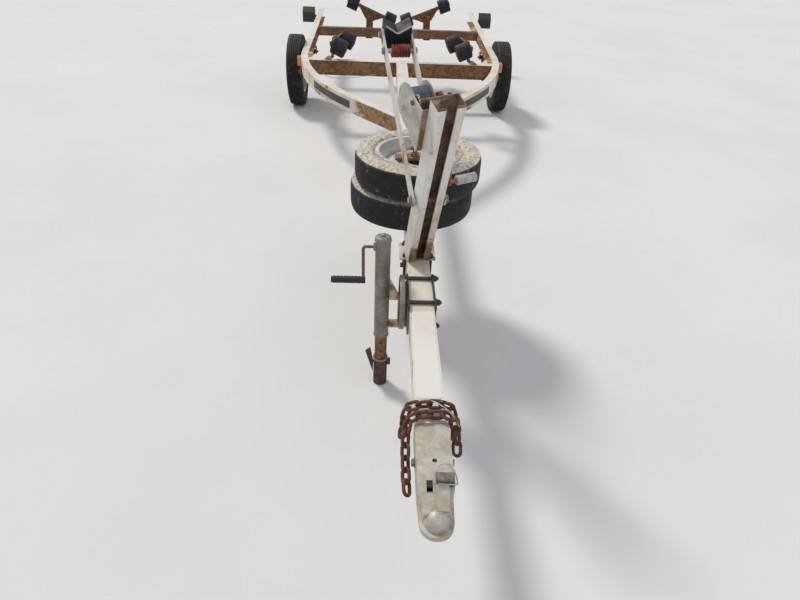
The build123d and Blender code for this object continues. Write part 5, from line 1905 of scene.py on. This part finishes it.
@dataclass
class Lamps:
    """Tail lamps and side markers."""

    lamp_x: float = 846.0
    station: float = 5537.0
    depth: float = 70.0
    middle_z: float = 447.0
    screw_across: float = 40.0
    screw_reach: float = 12.0
    rib_count: int = 15
    rib_pitch: float = 6.6
    rib_reach: float = 11.6
    rib_size: Spot = (3.0, 104.0, 2.0)

    def on_lenses(self, across: Sequence[float], reach: float) -> list[Placed]:
        """Spots on both tail lenses.

        Args:
            across: their distances from a lens's middle.
            reach: how far behind the housing they are.

        Returns:
            Place and outward direction of each.
        """
        y = behind(self.station) + self.depth + reach
        return [(Vector((sign * self.lamp_x + x, y, self.middle_z)), Vector((0, 1, 0))) for sign in BOTH
                for x in across]

    def build(self, nodes: dict) -> None:
        """Dresses the lamps, and adds the screws and the fine upright ribs of the tail lenses.

        Args:
            nodes: the frame's nodes by name.
        """
        dress_nodes(nodes, {"tail_lamps": Finish.BLACK, "tail_lenses": Finish.RED_LENS,
                            "marker_lamps": Finish.AMBER_LENS})
        screws = self.on_lenses((-self.screw_across, self.screw_across), self.screw_reach)
        nut = Hardware().nut("lens_screw", radius=4.0, height=2.0)
        add_repeated("lens_screws", nut, screws, Finish.BRIGHT, Body.FRAME, "black_plastic")
        ribs = self.on_lenses([(index - self.rib_count // 2) * self.rib_pitch for index in range(self.rib_count)],
                              self.rib_reach)
        add_repeated("lens_ribs", Hardware().lug("lens_rib", *self.rib_size), ribs, Finish.RED_LENS, Body.FRAME,
                     "red_lens")


@dataclass
class Studio:
    """Pale floor, soft light and the photograph's camera."""

    camera_spot: Spot = (-0.129, -3.694, 1.529)
    pitch: float = 34.87
    yaw: float = -2.56
    roll: float = 2.65
    focal_pixels: float = 601.0
    image_width: float = 800.0
    sensor: float = 36.0
    clip_end: float = 200.0
    floor_half: float = 60.0
    floor_z: float = -0.001
    soft_light: tuple[Colour, float] = ((0.88, 0.91, 1.0, 1.0), 0.46)
    backdrop: tuple[Colour, float] = ((0.74, 0.735, 0.72, 1.0), 1.0)

    def camera(self) -> None:
        """Camera where the photograph was taken."""
        pitch, yaw, roll = (math.radians(value) for value in (self.pitch, self.yaw, self.roll))
        across = Vector((math.cos(yaw), math.sin(yaw), 0))
        level = Vector((-math.sin(yaw), math.cos(yaw), 0))
        ahead = level * math.cos(pitch) - Vector((0, 0, 1)) * math.sin(pitch)
        above = level * math.sin(pitch) + Vector((0, 0, 1)) * math.cos(pitch)
        right = across * math.cos(roll) + above * math.sin(roll)
        upward = above * math.cos(roll) - across * math.sin(roll)
        data = bpy.data.cameras.new("Camera")
        data.sensor_width = self.sensor
        data.sensor_fit = "HORIZONTAL"
        data.lens = self.focal_pixels / self.image_width * self.sensor
        data.clip_end = self.clip_end
        camera = bpy.data.objects.new("Camera", data)
        camera.matrix_world = Matrix((
            (right.x, upward.x, -ahead.x, self.camera_spot[0]), (right.y, upward.y, -ahead.y, self.camera_spot[1]),
            (right.z, upward.z, -ahead.z, self.camera_spot[2]), (0, 0, 0, 1)))
        bpy.context.scene.collection.objects.link(camera)
        bpy.context.scene.camera = camera

    def floor(self) -> None:
        """Plain pale floor under the tyres."""
        mesh = bpy.data.meshes.new("floor")
        size = self.floor_half
        mesh.from_pydata([(-size, -size, self.floor_z), (size, -size, self.floor_z), (size, size, self.floor_z),
                          (-size, size, self.floor_z)], [], [(0, 1, 2, 3)])
        floor = bpy.data.objects.new("floor", mesh)
        bpy.context.scene.collection.objects.link(floor)
        material, shader, surface, place = new_material("Floor")
        tone = shader.noise(place, 0.8, 4.0)
        colour = shader.blend(shader.ramp(tone, 0.3, 0.7), (0.73, 0.72, 0.70, 1.0), (0.77, 0.76, 0.74, 1.0))
        finish_surface(shader, surface, colour, 0.95, tone, 0.02, 0.0002)
        mesh.materials.append(material)

    def light(self) -> None:
        """Pale surroundings, a soft main lamp from behind on the left and a weak fill."""
        world = bpy.data.worlds.new("World")
        bpy.context.scene.world = world
        world.use_nodes = True
        shader = ShaderTree(world.node_tree)
        soft = world.node_tree.nodes["Background"]
        soft.inputs["Color"].default_value, soft.inputs["Strength"].default_value = self.soft_light
        colour, strength = self.backdrop
        pale = shader.add("Background", {"Color": colour, "Strength": strength})
        path = shader.add("LightPath").outputs
        mirrored = shader.maths("MAXIMUM", path["Is Glossy Ray"], path["Is Transmission Ray"])
        seen = shader.maths("MAXIMUM", path["Is Camera Ray"], mirrored)
        both = shader.add("MixShader", {0: seen, 1: soft.outputs[0], 2: pale.outputs[0]})
        world.node_tree.links.new(both.outputs[0], world.node_tree.nodes["World Output"].inputs["Surface"])
        for name, aim, energy, angle, colour in (
                ("main_light", (0.55, -0.62, -0.95), 1.95, 12.0, (1.0, 0.96, 0.9)),
                ("fill_light", (-0.3, 0.8, -0.9), 0.5, 60.0, (0.95, 0.97, 1.0))):
            data = bpy.data.lights.new(name, "SUN")
            data.energy = energy
            data.angle = math.radians(angle)
            data.color = colour
            lamp = bpy.data.objects.new(name, data)
            lamp.rotation_euler = Vector(aim).to_track_quat("-Z", "Y").to_euler()
            bpy.context.scene.collection.objects.link(lamp)

    def build(self) -> None:
        """Builds the stage."""
        bpy.context.scene.view_settings.view_transform = "Standard"
        self.camera()
        self.floor()
        self.light()


def main() -> None:
    """Builds every sub-assembly in order."""
    logging.basicConfig(level=logging.INFO, format="%(name)s: %(message)s")
    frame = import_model()
    nodes = frame["nodes"]
    SharedEffects().build()
    REPEATS.build()
    for part in (Frame(), RunningGear(), SpareWheels(), Coupler(), Jack(), WinchStand(), Winch(), HullRollers(),
                 Lamps()):
        LOG.info("building %s", type(part).__name__)
        part.build(nodes)
    Studio().build()


if __name__ == "__main__":
    main()
